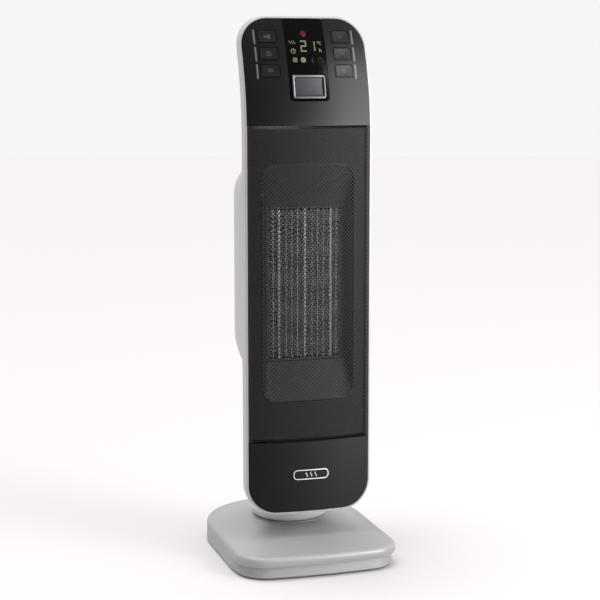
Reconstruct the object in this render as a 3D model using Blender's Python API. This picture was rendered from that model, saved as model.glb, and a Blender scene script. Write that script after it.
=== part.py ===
"""Tower ceramic fan heater on an oscillating base: casings, air path, drive and controls.

+Z is up, the outlet faces -Y, and the origin is on the floor under the middle of the base.
Run it with: blender --background --python part.py
"""

import math

import bmesh
import bpy
from mathutils import Matrix, Vector

MM = 0.001
GAP = 0.3 * MM  # between pieces that rest on or fit in each other
SHELL_SEAM = 0.5 * MM  # between the front frame and the rear shell

# ---------------------------------------------------------------- driving sizes
# Base
BASE_WIDTH = 200 * MM
BASE_DEPTH = 269 * MM
BASE_CORNER = 28 * MM  # front corners; the back is one half circle
BASE_FRONT_BOW = 8 * MM  # how far the front corners lie behind its middle
BASE_LIFT = 2 * MM  # underside above the floor
BASE_EDGE_HEIGHT = 28 * MM
BASE_EDGE_FILLET = 5 * MM
BASE_DOME_HEIGHT = 37.5 * MM
BASE_WALL = 2.5 * MM
FRONT_BAND_DEPTH = 5 * MM
FRONT_BAND_HEIGHT = 16.5 * MM
FRONT_BAND_LENGTH = 32 * MM
TRAY_FLOOR = 2 * MM
TRAY_WALL = 2 * MM
TRAY_RISE = 22 * MM
FOOT_RADIUS = 9 * MM
FOOT_INSET = 26 * MM

# Turntable between base and tower
PIVOT_Y = 15.5 * MM
NECK_RADIUS = 49.5 * MM
NECK_WALL = 2.5 * MM
HUB_RADIUS = 18 * MM
HUB_BORE = 13 * MM
HUB_CLEARANCE = 1 * MM
POST_RADIUS = 11 * MM
POST_BORE = 7 * MM
THRUST_RING_WIDTH = 10 * MM
THRUST_RING_HEIGHT = 0.9 * MM
GEAR_MODULE = 1 * MM
GEAR_TEETH = 36
PINION_TEETH = 12
GEAR_WIDTH = 6 * MM
OSC_MOTOR_RADIUS = 18 * MM
OSC_MOTOR_HEIGHT = 13 * MM

# Tower
TOWER_HEIGHT = 656 * MM  # top above the floor
TOWER_BOTTOM = 63 * MM
TOWER_WIDTH = 156 * MM
TOWER_CORNER = 36 * MM
FRONT_Y = -76.5 * MM  # middle of the front, below the bend
FRONT_CROWN = 8.9 * MM  # how far the sides lie behind the middle
BEND_HEIGHT = 513 * MM  # where the front starts to lean back
BEND_SETBACK = 41 * MM  # how far back the top edge lies
RIM_WIDTH = 3 * MM
FRAME_DEPTH = 16 * MM
LEDGE_WIDTH = 3 * MM
LEDGE_DEPTH = 3.3 * MM
PANEL_THICKNESS = 2.6 * MM
GRILLE_THICKNESS = 1.6 * MM
GRILLE_BOTTOM = 152.5 * MM
GRILLE_TOP = 528 * MM
SHELL_STEPS = 18  # round the back
SHELL_WALL = 2.5 * MM
SHELL_DEPTH = 45 * MM  # of the plain part of the rear shell
HOUSING_SIDE_ROOM = 20.4 * MM  # from the duct's side to the housing's outer face
HOUSING_REAR_ROOM = 23 * MM  # from the fan to the housing's outer face
HOUSING_BOTTOM = 272 * MM
HOUSING_TOP = 443 * MM
HOUSING_TOP_TAPER = 66 * MM
HOUSING_BOTTOM_TAPER = 84 * MM
STEM_HALF_WIDTH = 48 * MM
STEM_REAR_Y = 62.5 * MM

# Controls
STRIP_HALF_WIDTH = 24.3 * MM
STRIP_BOTTOM = 557 * MM
POWER_WIDTH = 41 * MM
POWER_HEIGHT = 28 * MM
POWER_Z = 574 * MM
KEY_WIDTH = 22 * MM
KEY_HEIGHT = 14 * MM
KEY_X = 45 * MM
KEY_ROWS = (592 * MM, 612 * MM, 632 * MM)
KEY_PROUD = 0.7 * MM
KEY_LENGTH = 5.2 * MM
BADGE_WIDTH = 44 * MM
BADGE_HEIGHT = 12 * MM
BADGE_Z = 111 * MM

# Heating element
CHAMBER_HALF_WIDTH = 56 * MM
CHAMBER_BOTTOM = 202 * MM
CHAMBER_TOP = 482 * MM
CHAMBER_CORNER = 15 * MM
DUCT_WALL = 1.8 * MM
BAFFLE_THICKNESS = 1.2 * MM
BAFFLE_MARGIN = 3 * MM  # between the baffle and the grille's ends
ELEMENT_HALF_WIDTH = 45 * MM
ELEMENT_BOTTOM = 250 * MM
ELEMENT_TOP = 430 * MM
ELEMENT_FRONT_Y = -51.5 * MM
ELEMENT_DEPTH = 14 * MM
ELEMENT_FRAME = 3 * MM
BAR_WIDTH = 3.4 * MM
BAR_SPACING = 32.3 * MM
FIN_THICKNESS = 0.7 * MM
FIN_PITCH = 10 * MM

# Blower
FAN_Y = 24.5 * MM
FAN_RADIUS = 30 * MM
FAN_BLADES = 15
FAN_BLADE_DEPTH = 7 * MM
FAN_DISC = 1.6 * MM
SCROLL_CLEARANCE = 3 * MM
SCROLL_WALL = 1.8 * MM
SHAFT_RADIUS = 2.5 * MM
PLATE_THICKNESS = 2 * MM
MOTOR_GAP = 12 * MM  # between the lower fan plate and the motor core
MOTOR_CORE_HEIGHT = 14 * MM
MOTOR_ROTOR_RADIUS = 13 * MM

# Rear intake and handle
INTAKE_HALF_WIDTH = 50 * MM
INTAKE_BOTTOM = 268 * MM
INTAKE_TOP = 452 * MM
INTAKE_CORNER = 10 * MM
LOUVRE_COUNT = 13
HANDLE_HALF_WIDTH = 42 * MM
HANDLE_BOTTOM = 537 * MM
HANDLE_TOP = 565 * MM
HANDLE_POCKET = 24 * MM
SCREW_X = 67 * MM
SCREW_ROWS = (106 * MM, 596 * MM)
SCREW_SHANK = 1.6 * MM
SCREW_HEAD = 3.4 * MM
SCREW_LENGTH = 12 * MM
SCREW_BOSS = 6.4 * MM
SCREW_FLOOR = 3 * MM

# ---------------------------------------------------------------- derived values
BASE_BACK_CENTRE_Y = BASE_DEPTH / 2 - BASE_WIDTH / 2
NECK_BOTTOM = BASE_DOME_HEIGHT + THRUST_RING_HEIGHT + 2 * GAP
NECK_TOP = TOWER_BOTTOM - GAP
HUB_BOTTOM = BASE_DOME_HEIGHT - BASE_WALL - 7 * MM
PANEL_HALF_WIDTH = TOWER_WIDTH / 2 - RIM_WIDTH
BEND_RATE = BEND_SETBACK / (TOWER_HEIGHT - BEND_HEIGHT) ** 2
THROAT_HALF_WIDTH = ELEMENT_HALF_WIDTH + ELEMENT_FRAME + 2 * GAP
HOUSING_HALF_WIDTH = THROAT_HALF_WIDTH + HOUSING_SIDE_ROOM
HOUSING_REAR_Y = FAN_Y + FAN_RADIUS + HOUSING_REAR_ROOM
THROAT_BOTTOM = ELEMENT_BOTTOM - ELEMENT_FRAME - 2 * GAP
THROAT_TOP = ELEMENT_TOP + ELEMENT_FRAME + 2 * GAP
THROAT_REAR_Y = FAN_Y - FAN_RADIUS - 6 * MM
FAN_BOTTOM = THROAT_BOTTOM + 2 * MM
FAN_TOP = THROAT_TOP - 2 * MM
LOWER_PLATE_TOP = THROAT_BOTTOM - DUCT_WALL - GAP
UPPER_PLATE_BOTTOM = THROAT_TOP + DUCT_WALL + GAP
MOTOR_TOP = LOWER_PLATE_TOP - PLATE_THICKNESS - MOTOR_GAP
PITCH_RADIUS = GEAR_MODULE * GEAR_TEETH / 2
PINION_RADIUS = GEAR_MODULE * PINION_TEETH / 2
PINION_Y = PIVOT_Y + PITCH_RADIUS + PINION_RADIUS
GEAR_BOTTOM = NECK_BOTTOM + NECK_WALL + 1.5 * MM
OSC_MOTOR_BOTTOM = GEAR_BOTTOM + GEAR_WIDTH + 3 * MM
CUT = 5 * MM  # how far a cutter runs past what it cuts

# ---------------------------------------------------------------- materials
MATERIALS = {
    "white_plastic": ((0.74, 0.74, 0.75), 0.38, 0.0),
    "black_plastic": ((0.03, 0.03, 0.032), 0.42, 0.0),
    "gloss_black": ((0.008, 0.008, 0.009), 0.08, 0.0),
    "key_plastic": ((0.045, 0.045, 0.047), 0.4, 0.0),
    "rubber": ((0.02, 0.02, 0.02), 0.8, 0.0),
    "heat_plastic": ((0.05, 0.047, 0.045), 0.6, 0.0),
    "aluminium": ((0.62, 0.63, 0.65), 0.35, 1.0),
    "steel": ((0.5, 0.5, 0.52), 0.4, 1.0),
    "copper": ((0.6, 0.28, 0.12), 0.45, 1.0),
    "nylon": ((0.8, 0.78, 0.72), 0.5, 0.0),
    "circuit_board": ((0.03, 0.16, 0.06), 0.5, 0.0),
    "filter_mesh": ((0.12, 0.12, 0.13), 0.8, 0.0),
}


def material(name):
    """The named Principled material, made the first time it is asked for."""
    made = bpy.data.materials.get(name)
    if made:
        return made
    colour, roughness, metallic = MATERIALS[name]
    made = bpy.data.materials.new(name)
    made.use_nodes = True
    shader = made.node_tree.nodes["Principled BSDF"]
    shader.inputs["Base Color"].default_value = (*colour, 1)
    shader.inputs["Roughness"].default_value = roughness
    shader.inputs["Metallic"].default_value = metallic
    return made


# ---------------------------------------------------------------- scene helpers
def clear_scene():
    for obj in list(bpy.data.objects):
        bpy.data.objects.remove(obj)


def empty(name, at, parent=None):
    """A joint's centre; pieces parented to it turn about it."""
    made = bpy.data.objects.new(name, None)
    bpy.context.scene.collection.objects.link(made)
    made.parent = parent
    made.location = Vector(at) - (world_place(parent) if parent else Vector())
    made["place"] = tuple(at)
    return made


def world_place(obj):
    return Vector(obj["place"])


def add(name, shape, finish, parent=None, origin=None):
    """Turns a bmesh made in world coordinates into an object with its origin at origin."""
    at = Vector(origin) if origin else (world_place(parent) if parent else Vector())
    bmesh.ops.translate(shape, verts=shape.verts, vec=-at)
    bmesh.ops.recalc_face_normals(shape, faces=shape.faces)
    mesh = bpy.data.meshes.new(name)
    shape.to_mesh(mesh)
    shape.free()
    made = bpy.data.objects.new(name, mesh)
    bpy.context.scene.collection.objects.link(made)
    made.parent = parent
    made.location = at - (world_place(parent) if parent else Vector())
    made["place"] = tuple(at)
    if finish:
        mesh.materials.append(material(finish))
    mesh.shade_smooth()
    mesh.set_sharp_from_angle(angle=math.radians(30))
    return made


def helper(name, shape, target):
    """A cutter or a joined shape, left out of the model itself."""
    made = add(name, shape, None, target.parent, origin=world_place(target))
    made.hide_render = True
    made.display_type = "WIRE"
    return made


def boolean(target, operation, name, shape):
    """Cuts shape from target, joins it, or keeps what they share."""
    modifier = target.modifiers.new(name, "BOOLEAN")
    modifier.operation = operation
    modifier.solver = "EXACT"
    modifier.object = helper(f"{target.name}_{name}", shape, target)
    return target


def cut(target, name, shape):
    return boolean(target, "DIFFERENCE", name, shape)


def join(target, name, shape):
    return boolean(target, "UNION", name, shape)


def spare(cutter, name, shape):
    """Leaves shape out of what a cutter removes."""
    return boolean(cutter, "DIFFERENCE", name, shape)


def keep(target, name, shape):
    return boolean(target, "INTERSECT", name, shape)


# ---------------------------------------------------------------- shape helpers
def box(low, high):
    """A block between two corners."""
    shape = bmesh.new()
    bmesh.ops.create_cube(shape, size=1)
    low, high = Vector(low), Vector(high)
    size = high - low
    bmesh.ops.scale(shape, verts=shape.verts, vec=size)
    bmesh.ops.translate(shape, verts=shape.verts, vec=(low + high) / 2)
    return shape


def loft(sections):
    """Closed loops of equal length joined in order, with flat caps."""
    shape = bmesh.new()
    rings = [[shape.verts.new(point) for point in section] for section in sections]
    count = len(rings[0])
    for lower, upper in zip(rings, rings[1:]):
        for i in range(count):
            j = (i + 1) % count
            shape.faces.new((lower[i], lower[j], upper[j], upper[i]))
    shape.faces.new(rings[0][::-1])
    shape.faces.new(rings[-1])
    bmesh.ops.recalc_face_normals(shape, faces=shape.faces)
    return shape


def prism(outline, low, high, axis="Z"):
    """An outline of 2D points drawn out from low to high along an axis."""
    place = {
        "X": lambda u, v, w: (w, u, v),
        "Y": lambda u, v, w: (u, w, v),
        "Z": lambda u, v, w: (u, v, w),
    }[axis]
    return loft([[place(u, v, w) for u, v in outline] for w in (low, high)])


def circle(radius, steps=32, centre=(0, 0)):
    angles = [2 * math.pi * i / steps for i in range(steps)]
    return [(centre[0] + radius * math.cos(a), centre[1] + radius * math.sin(a)) for a in angles]


def rounded_rectangle(left, right, bottom, top, radius, steps=5):
    """Corner arcs in order, counter-clockwise from the lower right."""
    corners = (
        (right - radius, bottom + radius, -90),
        (right - radius, top - radius, 0),
        (left + radius, top - radius, 90),
        (left + radius, bottom + radius, 180),
    )
    points = []
    for x, y, first in corners:
        for i in range(steps + 1):
            angle = math.radians(first + 90 * i / steps)
            points.append((x + radius * math.cos(angle), y + radius * math.sin(angle)))
    return points


def turned(profile, steps=32, centre=(0, 0)):
    """A closed profile of (radius, height) turned about a vertical axis, all of it off the axis."""
    shape = bmesh.new()
    rings = []
    for i in range(steps):
        angle = 2 * math.pi * i / steps
        rings.append(
            [
                shape.verts.new((centre[0] + r * math.cos(angle), centre[1] + r * math.sin(angle), z))
                for r, z in profile
            ]
        )
    count = len(profile)
    for i in range(steps):
        ring, following = rings[i], rings[(i + 1) % steps]
        for k in range(count):
            m = (k + 1) % count
            shape.faces.new((ring[k], following[k], following[m], ring[m]))
    bmesh.ops.recalc_face_normals(shape, faces=shape.faces)
    return shape


def cylinder(radius, low, high, centre=(0, 0), steps=32, axis="Z"):
    return prism(circle(radius, steps, centre), low, high, axis)


def ring(outer, inner, low, high, centre=(0, 0), steps=28):
    return turned([(inner, low), (outer, low), (outer, high), (inner, high)], steps, centre)


def gathered(shapes):
    """Several bmeshes in one."""
    whole = bmesh.new()
    for shape in shapes:
        mesh = bpy.data.meshes.new("part")
        shape.to_mesh(mesh)
        shape.free()
        whole.from_mesh(mesh)
        bpy.data.meshes.remove(mesh)
    return whole


def toothed(teeth, module):
    """Outline of a spur gear with straight-sided teeth and ample backlash."""
    root = module * (teeth / 2 - 1.2)
    tip = module * (teeth / 2 + 0.75)
    pitch = 2 * math.pi / teeth
    points = []
    for tooth in range(teeth):
        middle = tooth * pitch
        for radius, share in ((root, -0.24), (tip, -0.1), (tip, 0.1), (root, 0.24)):
            angle = middle + share * pitch
            points.append((radius * math.cos(angle), radius * math.sin(angle)))
    return points


# ---------------------------------------------------------------- the front's shape
def lean(z):
    """How far the front lies back at height z."""
    return BEND_RATE * max(0.0, z - BEND_HEIGHT) ** 2


def lean_angle(z):
    """The front's tilt from the vertical at height z."""
    return math.atan(2 * BEND_RATE * max(0.0, z - BEND_HEIGHT))


def front_y(x, z):
    return FRONT_Y + FRONT_CROWN * (2 * x / TOWER_WIDTH) ** 2 + lean(z)


def height_stations(low, high):
    """Heights between low and high, close together only where the front bends."""
    bend = [BEND_HEIGHT + (TOWER_HEIGHT + CUT - BEND_HEIGHT) * i / 8 for i in range(9)]
    return [low, *[z for z in bend if low + MM < z < high - MM], high]


def front_slab(depth_front, depth_back, low, high):
    """A curved plate that follows the front between two depths behind it."""
    half = TOWER_WIDTH / 2 + CUT
    columns = [half * (2 * i / 8 - 1) for i in range(9)]
    sections = []
    for z in height_stations(low, high):
        near = [(x, front_y(x, z) + depth_front, z) for x in columns]
        far = [(x, front_y(x, z) + depth_back, z) for x in reversed(columns)]
        sections.append(near + far)
    return loft(sections)


def front_outline(inset, gap=0.0):
    """The tower's front view, drawn in by inset."""
    half = TOWER_WIDTH / 2 - inset - gap
    return rounded_rectangle(
        -half,
        half,
        TOWER_BOTTOM + inset + gap,
        TOWER_HEIGHT - inset - gap,
        TOWER_CORNER - inset - gap,
        steps=6,
    )


def through_front(outline):
    """A prism that runs through the whole tower from front to back."""
    return prism(outline, FRONT_Y - 20 * MM, FRONT_Y + 110 * MM, "Y")


def front_piece(name, finish, low, high, thickness, parent):
    """A cover that fills the rim between two heights."""
    made = add(name, front_slab(0, thickness, low, high), finish, parent)
    return keep(made, "outline", through_front(front_outline(RIM_WIDTH, GAP)))


def pressed(shape, z):
    """Turns a shape drawn square to -Y so that it stands square to the front at height z."""
    at = Vector((0, front_y(0, z), z))
    bmesh.ops.rotate(shape, cent=at, matrix=Matrix.Rotation(-lean_angle(z), 3, "X"), verts=shape.verts)
    return shape


def key_shape(x, z, width, height, near, far, radius=2 * MM):
    """A rounded block square to the front; near and far are depths behind the surface at its middle."""
    surface = front_y(x, z)
    outline = rounded_rectangle(
        x - width / 2, x + width / 2, z - height / 2, z + height / 2, radius, steps=2
    )
    shape = prism(outline, surface + near, surface + far, "Y")
    return pressed(shape, z)


# ---------------------------------------------------------------- base
def base_outline(inset, steps=20):
    """Plan of the base: straight front and sides, round front corners, half-circle back."""
    half = BASE_WIDTH / 2 - inset
    front = -BASE_DEPTH / 2 + inset
    corner = max(BASE_CORNER - inset, 4 * MM)
    points = []
    for i in range(steps + 1):
        angle = math.pi * i / steps
        points.append((half * math.cos(angle), BASE_BACK_CENTRE_Y + half * math.sin(angle)))
    points.append((-half, (front + corner + BASE_BACK_CENTRE_Y) / 2))
    for side, first in ((-1, 180), (1, 270)):
        for i in range(5):
            angle = math.radians(first + 22.5 * i)
            x = side * (half - corner) + corner * math.cos(angle)
            points.append((x, front + corner + corner * math.sin(angle)))
        if side < 0:
            points += [(share * half, front) for share in (-0.4, -0.2, 0, 0.2, 0.4)]
    points.append((half, (front + corner + BASE_BACK_CENTRE_Y) / 2))
    return [(x, y + BASE_FRONT_BOW * (x / half) ** 2 * max(0, y / front)) for x, y in points]


def toward_circle(points, radius, share):
    """Moves an outline towards a circle about the pivot, keeping each point's bearing."""
    moved = []
    for x, y in points:
        bearing = math.atan2(y - PIVOT_Y, x)
        target = (radius * math.cos(bearing), PIVOT_Y + radius * math.sin(bearing))
        moved.append((x + (target[0] - x) * share, y + (target[1] - y) * share))
    return moved


def base_dome(inset, drop, bottom):
    """The cover's outer or inner form: upright sides, a fillet, then a low dome up to the turntable."""
    fillet = BASE_EDGE_FILLET
    edge = BASE_EDGE_HEIGHT - drop
    rise = BASE_DOME_HEIGHT - BASE_EDGE_HEIGHT
    sections = [(base_outline(inset), bottom), (base_outline(inset), edge - fillet)]
    for degrees in (30, 60, 90):
        angle = math.radians(degrees)
        drawn_in = inset + fillet * (1 - math.cos(angle))
        sections.append((base_outline(drawn_in), edge - fillet * (1 - math.sin(angle))))
    top = base_outline(inset + fillet)
    flat = NECK_RADIUS + 3 * MM
    for share in (0.35, 0.7, 1.0):
        height = edge + rise * math.sin(share * math.pi / 2) ** 2
        sections.append((toward_circle(top, flat, share), height))
    return loft([[(x, y, z) for x, y in outline] for outline, z in sections])


def make_base(pivot_centre):
    cover = add("base_cover", base_dome(0, 0, BASE_LIFT), "white_plastic")
    cut(cover, "hollow", base_dome(BASE_WALL, BASE_WALL, -CUT))
    boss_bottom = HUB_BOTTOM + GAP
    boss = cylinder(
        HUB_RADIUS + HUB_CLEARANCE + 8 * MM, boss_bottom, BASE_DOME_HEIGHT - 1 * MM, pivot_centre
    )
    join(cover, "pivot_boss", boss)
    cut(cover, "pivot_hole", cylinder(HUB_RADIUS + HUB_CLEARANCE, 0, BASE_DOME_HEIGHT + CUT, pivot_centre))
    front = -BASE_DEPTH / 2
    band = rounded_rectangle(
        front - CUT, front + FRONT_BAND_LENGTH, -2 * CUT, FRONT_BAND_HEIGHT, 4 * MM, steps=4
    )
    cut(cover, "front_band", prism(band, -BASE_WIDTH, BASE_WIDTH, "X"))

    tray = add("base_tray", prism(base_outline(FRONT_BAND_DEPTH), BASE_LIFT, TRAY_RISE), "white_plastic")
    hollow = prism(base_outline(FRONT_BAND_DEPTH + TRAY_WALL), BASE_LIFT + TRAY_FLOOR, TRAY_RISE + CUT)
    cut(tray, "hollow", hollow)

    for side, side_name in ((-1, "left"), (1, "right")):
        for y, end in ((front + FOOT_INSET, "front"), (BASE_BACK_CENTRE_Y + 40 * MM, "rear")):
            x = side * (BASE_WIDTH / 2 - FOOT_INSET - (0 if end == "front" else 8 * MM))
            stages = ((0.9 * FOOT_RADIUS, 0), (FOOT_RADIUS, 0.6 * MM), (FOOT_RADIUS, BASE_LIFT - GAP))
            foot = [[(u, v, z) for u, v in circle(radius, 20, (x, y))] for radius, z in stages]
            add(f"foot_{end}_{side_name}", loft(foot), "rubber")
    make_cord_gland(cover, tray)


def make_cord_gland(cover, tray):
    """The bush in the back wall that the supply cord would pass through."""
    rear = BASE_DEPTH / 2
    body_radius, bore, height = 4.8 * MM, 3.4 * MM, BASE_LIFT + 9 * MM
    flange_radius, flange = 6.2 * MM, 1.5 * MM
    flange_front = rear - FRONT_BAND_DEPTH - TRAY_WALL - 2 * GAP - flange
    hole = cylinder(body_radius + GAP, flange_front, rear + CUT, (0, height), 20, "Y")
    cut(cover, "gland_hole", hole)
    hole = cylinder(body_radius + GAP, flange_front + flange, rear, (0, height), 20, "Y")
    cut(tray, "gland_hole", hole)
    gland = add(
        "cord_gland",
        cylinder(body_radius, flange_front + 0.5 * flange, rear - GAP, (0, height), 20, "Y"),
        "rubber",
    )
    flange_back = flange_front + flange
    join(gland, "flange", cylinder(flange_radius, flange_front, flange_back, (0, height), 20, "Y"))
    cut(gland, "bore", cylinder(bore, flange_front - CUT, rear + CUT, (0, height), 16, "Y"))


# ---------------------------------------------------------------- turntable
def make_turntable(pivot_centre, tower):
    """The neck that the tower stands on, its slide ring, post, gear and drive."""
    inner = NECK_RADIUS - NECK_WALL
    floor = NECK_BOTTOM + NECK_WALL
    profile = [
        (HUB_BORE, HUB_BOTTOM),
        (HUB_RADIUS, HUB_BOTTOM),
        (HUB_RADIUS, NECK_BOTTOM),
        (NECK_RADIUS - 1.5 * MM, NECK_BOTTOM),
        (NECK_RADIUS, NECK_BOTTOM + 1.5 * MM),
        (NECK_RADIUS, NECK_TOP),
        (inner, NECK_TOP),
        (inner, floor),
        (HUB_BORE, floor),
    ]
    add("neck", turned(profile, 48, pivot_centre), "white_plastic", tower)

    retainer = ring(HUB_RADIUS + 7 * MM, HUB_BORE, HUB_BOTTOM - 2.5 * MM, HUB_BOTTOM - GAP, pivot_centre)
    add("pivot_retainer", retainer, "steel", tower)

    outer = NECK_RADIUS - 4 * MM
    low = BASE_DOME_HEIGHT + GAP
    slide = ring(outer, outer - THRUST_RING_WIDTH, low, low + THRUST_RING_HEIGHT, pivot_centre, 40)
    add("thrust_ring", slide, "nylon")

    foot = BASE_LIFT + TRAY_FLOOR + GAP
    post_top = GEAR_BOTTOM + GEAR_WIDTH + 1 * MM
    post = turned(
        [
            (POST_BORE, foot),
            (POST_RADIUS + 8 * MM, foot),
            (POST_RADIUS + 8 * MM, foot + 2 * MM),
            (POST_RADIUS, foot + 2 * MM),
            (POST_RADIUS, post_top),
            (POST_BORE, post_top),
        ],
        32,
        pivot_centre,
    )
    add("pivot_post", post, "nylon")

    outline = [(x, y + PIVOT_Y) for x, y in toothed(GEAR_TEETH, GEAR_MODULE)]
    gear = add("fixed_gear", prism(outline, GEAR_BOTTOM, GEAR_BOTTOM + GEAR_WIDTH), "nylon")
    cut(gear, "bore", cylinder(POST_RADIUS + GAP, 0, GEAR_BOTTOM + 2 * GEAR_WIDTH, pivot_centre))

    pinion_axis = empty("pinion_axis", (0, PINION_Y, GEAR_BOTTOM), tower)
    half_tooth = math.pi / PINION_TEETH
    outline = []
    for x, y in toothed(PINION_TEETH, GEAR_MODULE):
        bearing = math.atan2(y, x) + half_tooth - math.pi / 2
        radius = math.hypot(x, y)
        outline.append((radius * math.cos(bearing), PINION_Y + radius * math.sin(bearing)))
    pinion = prism(outline, GEAR_BOTTOM + 0.5 * MM, GEAR_BOTTOM + GEAR_WIDTH - 0.5 * MM)
    made = add("drive_pinion", pinion, "nylon", pinion_axis)
    spindle = cylinder(2 * MM, GEAR_BOTTOM + 1 * MM, OSC_MOTOR_BOTTOM + 3 * MM, (0, PINION_Y), 12)
    join(made, "spindle", spindle)

    motor = turned(
        [
            (2.4 * MM, OSC_MOTOR_BOTTOM),
            (OSC_MOTOR_RADIUS, OSC_MOTOR_BOTTOM),
            (OSC_MOTOR_RADIUS, OSC_MOTOR_BOTTOM + OSC_MOTOR_HEIGHT - 1 * MM),
            (OSC_MOTOR_RADIUS - 1 * MM, OSC_MOTOR_BOTTOM + OSC_MOTOR_HEIGHT),
            (2.4 * MM, OSC_MOTOR_BOTTOM + OSC_MOTOR_HEIGHT),
        ],
        32,
        (0, PINION_Y),
    )
    add("oscillation_motor", motor, "steel", tower)


def make_tilt_switch():
    """The tip-over switch: a weight that hangs in a bracket and swings if the heater falls."""
    x, y = -46 * MM, -22 * MM
    floor = BASE_LIFT + TRAY_FLOOR + GAP
    width, length, height = 16 * MM, 20 * MM, 19 * MM
    ear, plate, pin, clearance = 2 * MM, 1.6 * MM, 1.5 * MM, 0.08 * MM
    hinge = floor + 15 * MM
    left, right = x - width / 2, x + width / 2
    bracket = add(
        "tilt_bracket", box((left, y - length / 2, floor), (right, y + length / 2, floor + height)), "nylon"
    )
    channel = box(
        (left + ear, y - length, floor + plate), (right - ear, y + length, floor + height + CUT)
    )
    cut(bracket, "channel", channel)
    hole = cylinder(pin + clearance, left - CUT, right + CUT, (y, hinge), 24, "X")
    cut(bracket, "pin_hole", hole)
    swing = empty("tilt_axis", (x, y, hinge))
    bob = cylinder(3.6 * MM, x - 4 * MM, x + 4 * MM, (y, hinge - 8 * MM), 20, "X")
    weight = add("tilt_weight", bob, "steel", swing)
    arm = box((x - 1.2 * MM, y - 1.5 * MM, hinge - 8 * MM), (x + 1.2 * MM, y + 1.5 * MM, hinge))
    join(weight, "arm", arm)
    join(weight, "pin", cylinder(pin, left + 0.4 * MM, right - 0.4 * MM, (y, hinge), 24, "X"))


# ---------------------------------------------------------------- tower casings
def make_front_frame(tower):
    slab = front_slab(0, FRAME_DEPTH, TOWER_BOTTOM - CUT, TOWER_HEIGHT + CUT)
    frame = add("front_frame", slab, "white_plastic", tower)
    keep(frame, "outline", through_front(front_outline(0)))
    seat = front_slab(-CUT, LEDGE_DEPTH - GAP, TOWER_BOTTOM - CUT, TOWER_HEIGHT + CUT)
    seat_cutter = helper("front_frame_seat", seat, frame)
    trim = seat_cutter.modifiers.new("outline", "BOOLEAN")
    trim.operation = "INTERSECT"
    trim.solver = "EXACT"
    trim.object = helper("front_frame_seat_outline", through_front(front_outline(RIM_WIDTH)), frame)
    modifier = frame.modifiers.new("seat", "BOOLEAN")
    modifier.operation = "DIFFERENCE"
    modifier.solver = "EXACT"
    modifier.object = seat_cutter
    cut(frame, "opening", through_front(front_outline(RIM_WIDTH + LEDGE_WIDTH)))
    posts, holes = [], []
    for x, z in screw_places():
        near = front_y(abs(x) + SCREW_BOSS, z + SCREW_BOSS) + LEDGE_DEPTH + GAP
        far = front_y(x, z - SCREW_BOSS) + FRAME_DEPTH
        posts.append(cylinder(SCREW_BOSS, near, far, (x, z), 20, "Y"))
        holes.append(cylinder(SCREW_SHANK + GAP, near + 2 * MM, far + CUT, (x, z), 12, "Y"))
    join(frame, "screw_posts", gathered(posts))
    cut(frame, "screw_holes", gathered(holes))


def shell_station(z):
    """(half width, plain depth, housing half width, housing rear y) of the rear shell at height z."""
    near_end = min(z - TOWER_BOTTOM, TOWER_HEIGHT - z)
    if near_end < TOWER_CORNER:
        across = math.sqrt(max(0.0, TOWER_CORNER**2 - (TOWER_CORNER - near_end) ** 2))
    else:
        across = TOWER_CORNER
    half = TOWER_WIDTH / 2 - TOWER_CORNER + across
    from_top = TOWER_HEIGHT - z
    rounding = min(1.0, from_top / (2 * TOWER_CORNER))
    depth = SHELL_DEPTH * (0.3 + 0.7 * math.sin(rounding * math.pi / 2))
    if z > HOUSING_TOP:
        share = min(1.0, (z - HOUSING_TOP) / HOUSING_TOP_TAPER)
        fall = 1 - math.cos(share * math.pi / 2)
        width = HOUSING_HALF_WIDTH * (1 - 0.42 * fall)
        rear = HOUSING_REAR_Y - (HOUSING_REAR_Y - FRONT_Y - FRAME_DEPTH - 30 * MM) * fall
    else:
        share = min(1.0, max(0.0, HOUSING_BOTTOM - z) / HOUSING_BOTTOM_TAPER)
        fall = (1 - math.cos(share * math.pi)) / 2
        width = HOUSING_HALF_WIDTH + (STEM_HALF_WIDTH - HOUSING_HALF_WIDTH) * fall
        rear = HOUSING_REAR_Y + (STEM_REAR_Y - HOUSING_REAR_Y) * fall
    return half, depth, width, rear


def shell_heights():
    low, high = TOWER_BOTTOM, TOWER_HEIGHT
    corner = [TOWER_CORNER * (1 - math.cos(math.radians(a))) for a in (0, 30, 60, 90)]
    lower_taper = [HOUSING_BOTTOM - HOUSING_BOTTOM_TAPER * i / 4 for i in range(5)]
    upper_taper = [HOUSING_TOP + HOUSING_TOP_TAPER * i / 4 for i in range(5)]
    bend = [z for z in height_stations(BEND_HEIGHT, high) if z < high - 0.5 * TOWER_CORNER]
    heights = [low + d for d in corner] + lower_taper + upper_taper + bend + [high - d for d in corner]
    return sorted(set(round(z, 6) for z in heights))


def shell_section(z, wall, front_depth, steps=SHELL_STEPS):
    """Outline of the rear shell at height z, drawn in by wall, closed along the front's curve."""
    half, depth, width, rear = shell_station(z)
    half, width = half - wall, width - wall
    centre = front_y(TOWER_WIDTH / 2, z) + FRAME_DEPTH + SHELL_SEAM
    depth, reach = depth - wall, max(rear - centre - wall, 1 * MM)
    points = []
    for i in range(steps + 1):
        angle = math.pi * i / steps
        c, s = abs(math.cos(angle)), math.sin(angle)
        plain = 1 / math.hypot(c / half, s / depth)
        housing = 1 / ((c / width) ** 4 + (s / reach) ** 4) ** 0.25
        radius = max(plain, housing)
        points.append((radius * math.cos(angle), centre + radius * s, z))
    front = [half * (2 * i / 8 - 1) for i in range(9)]
    points += [(x, front_y(x, z) + front_depth, z) for x in front]
    return points


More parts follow.
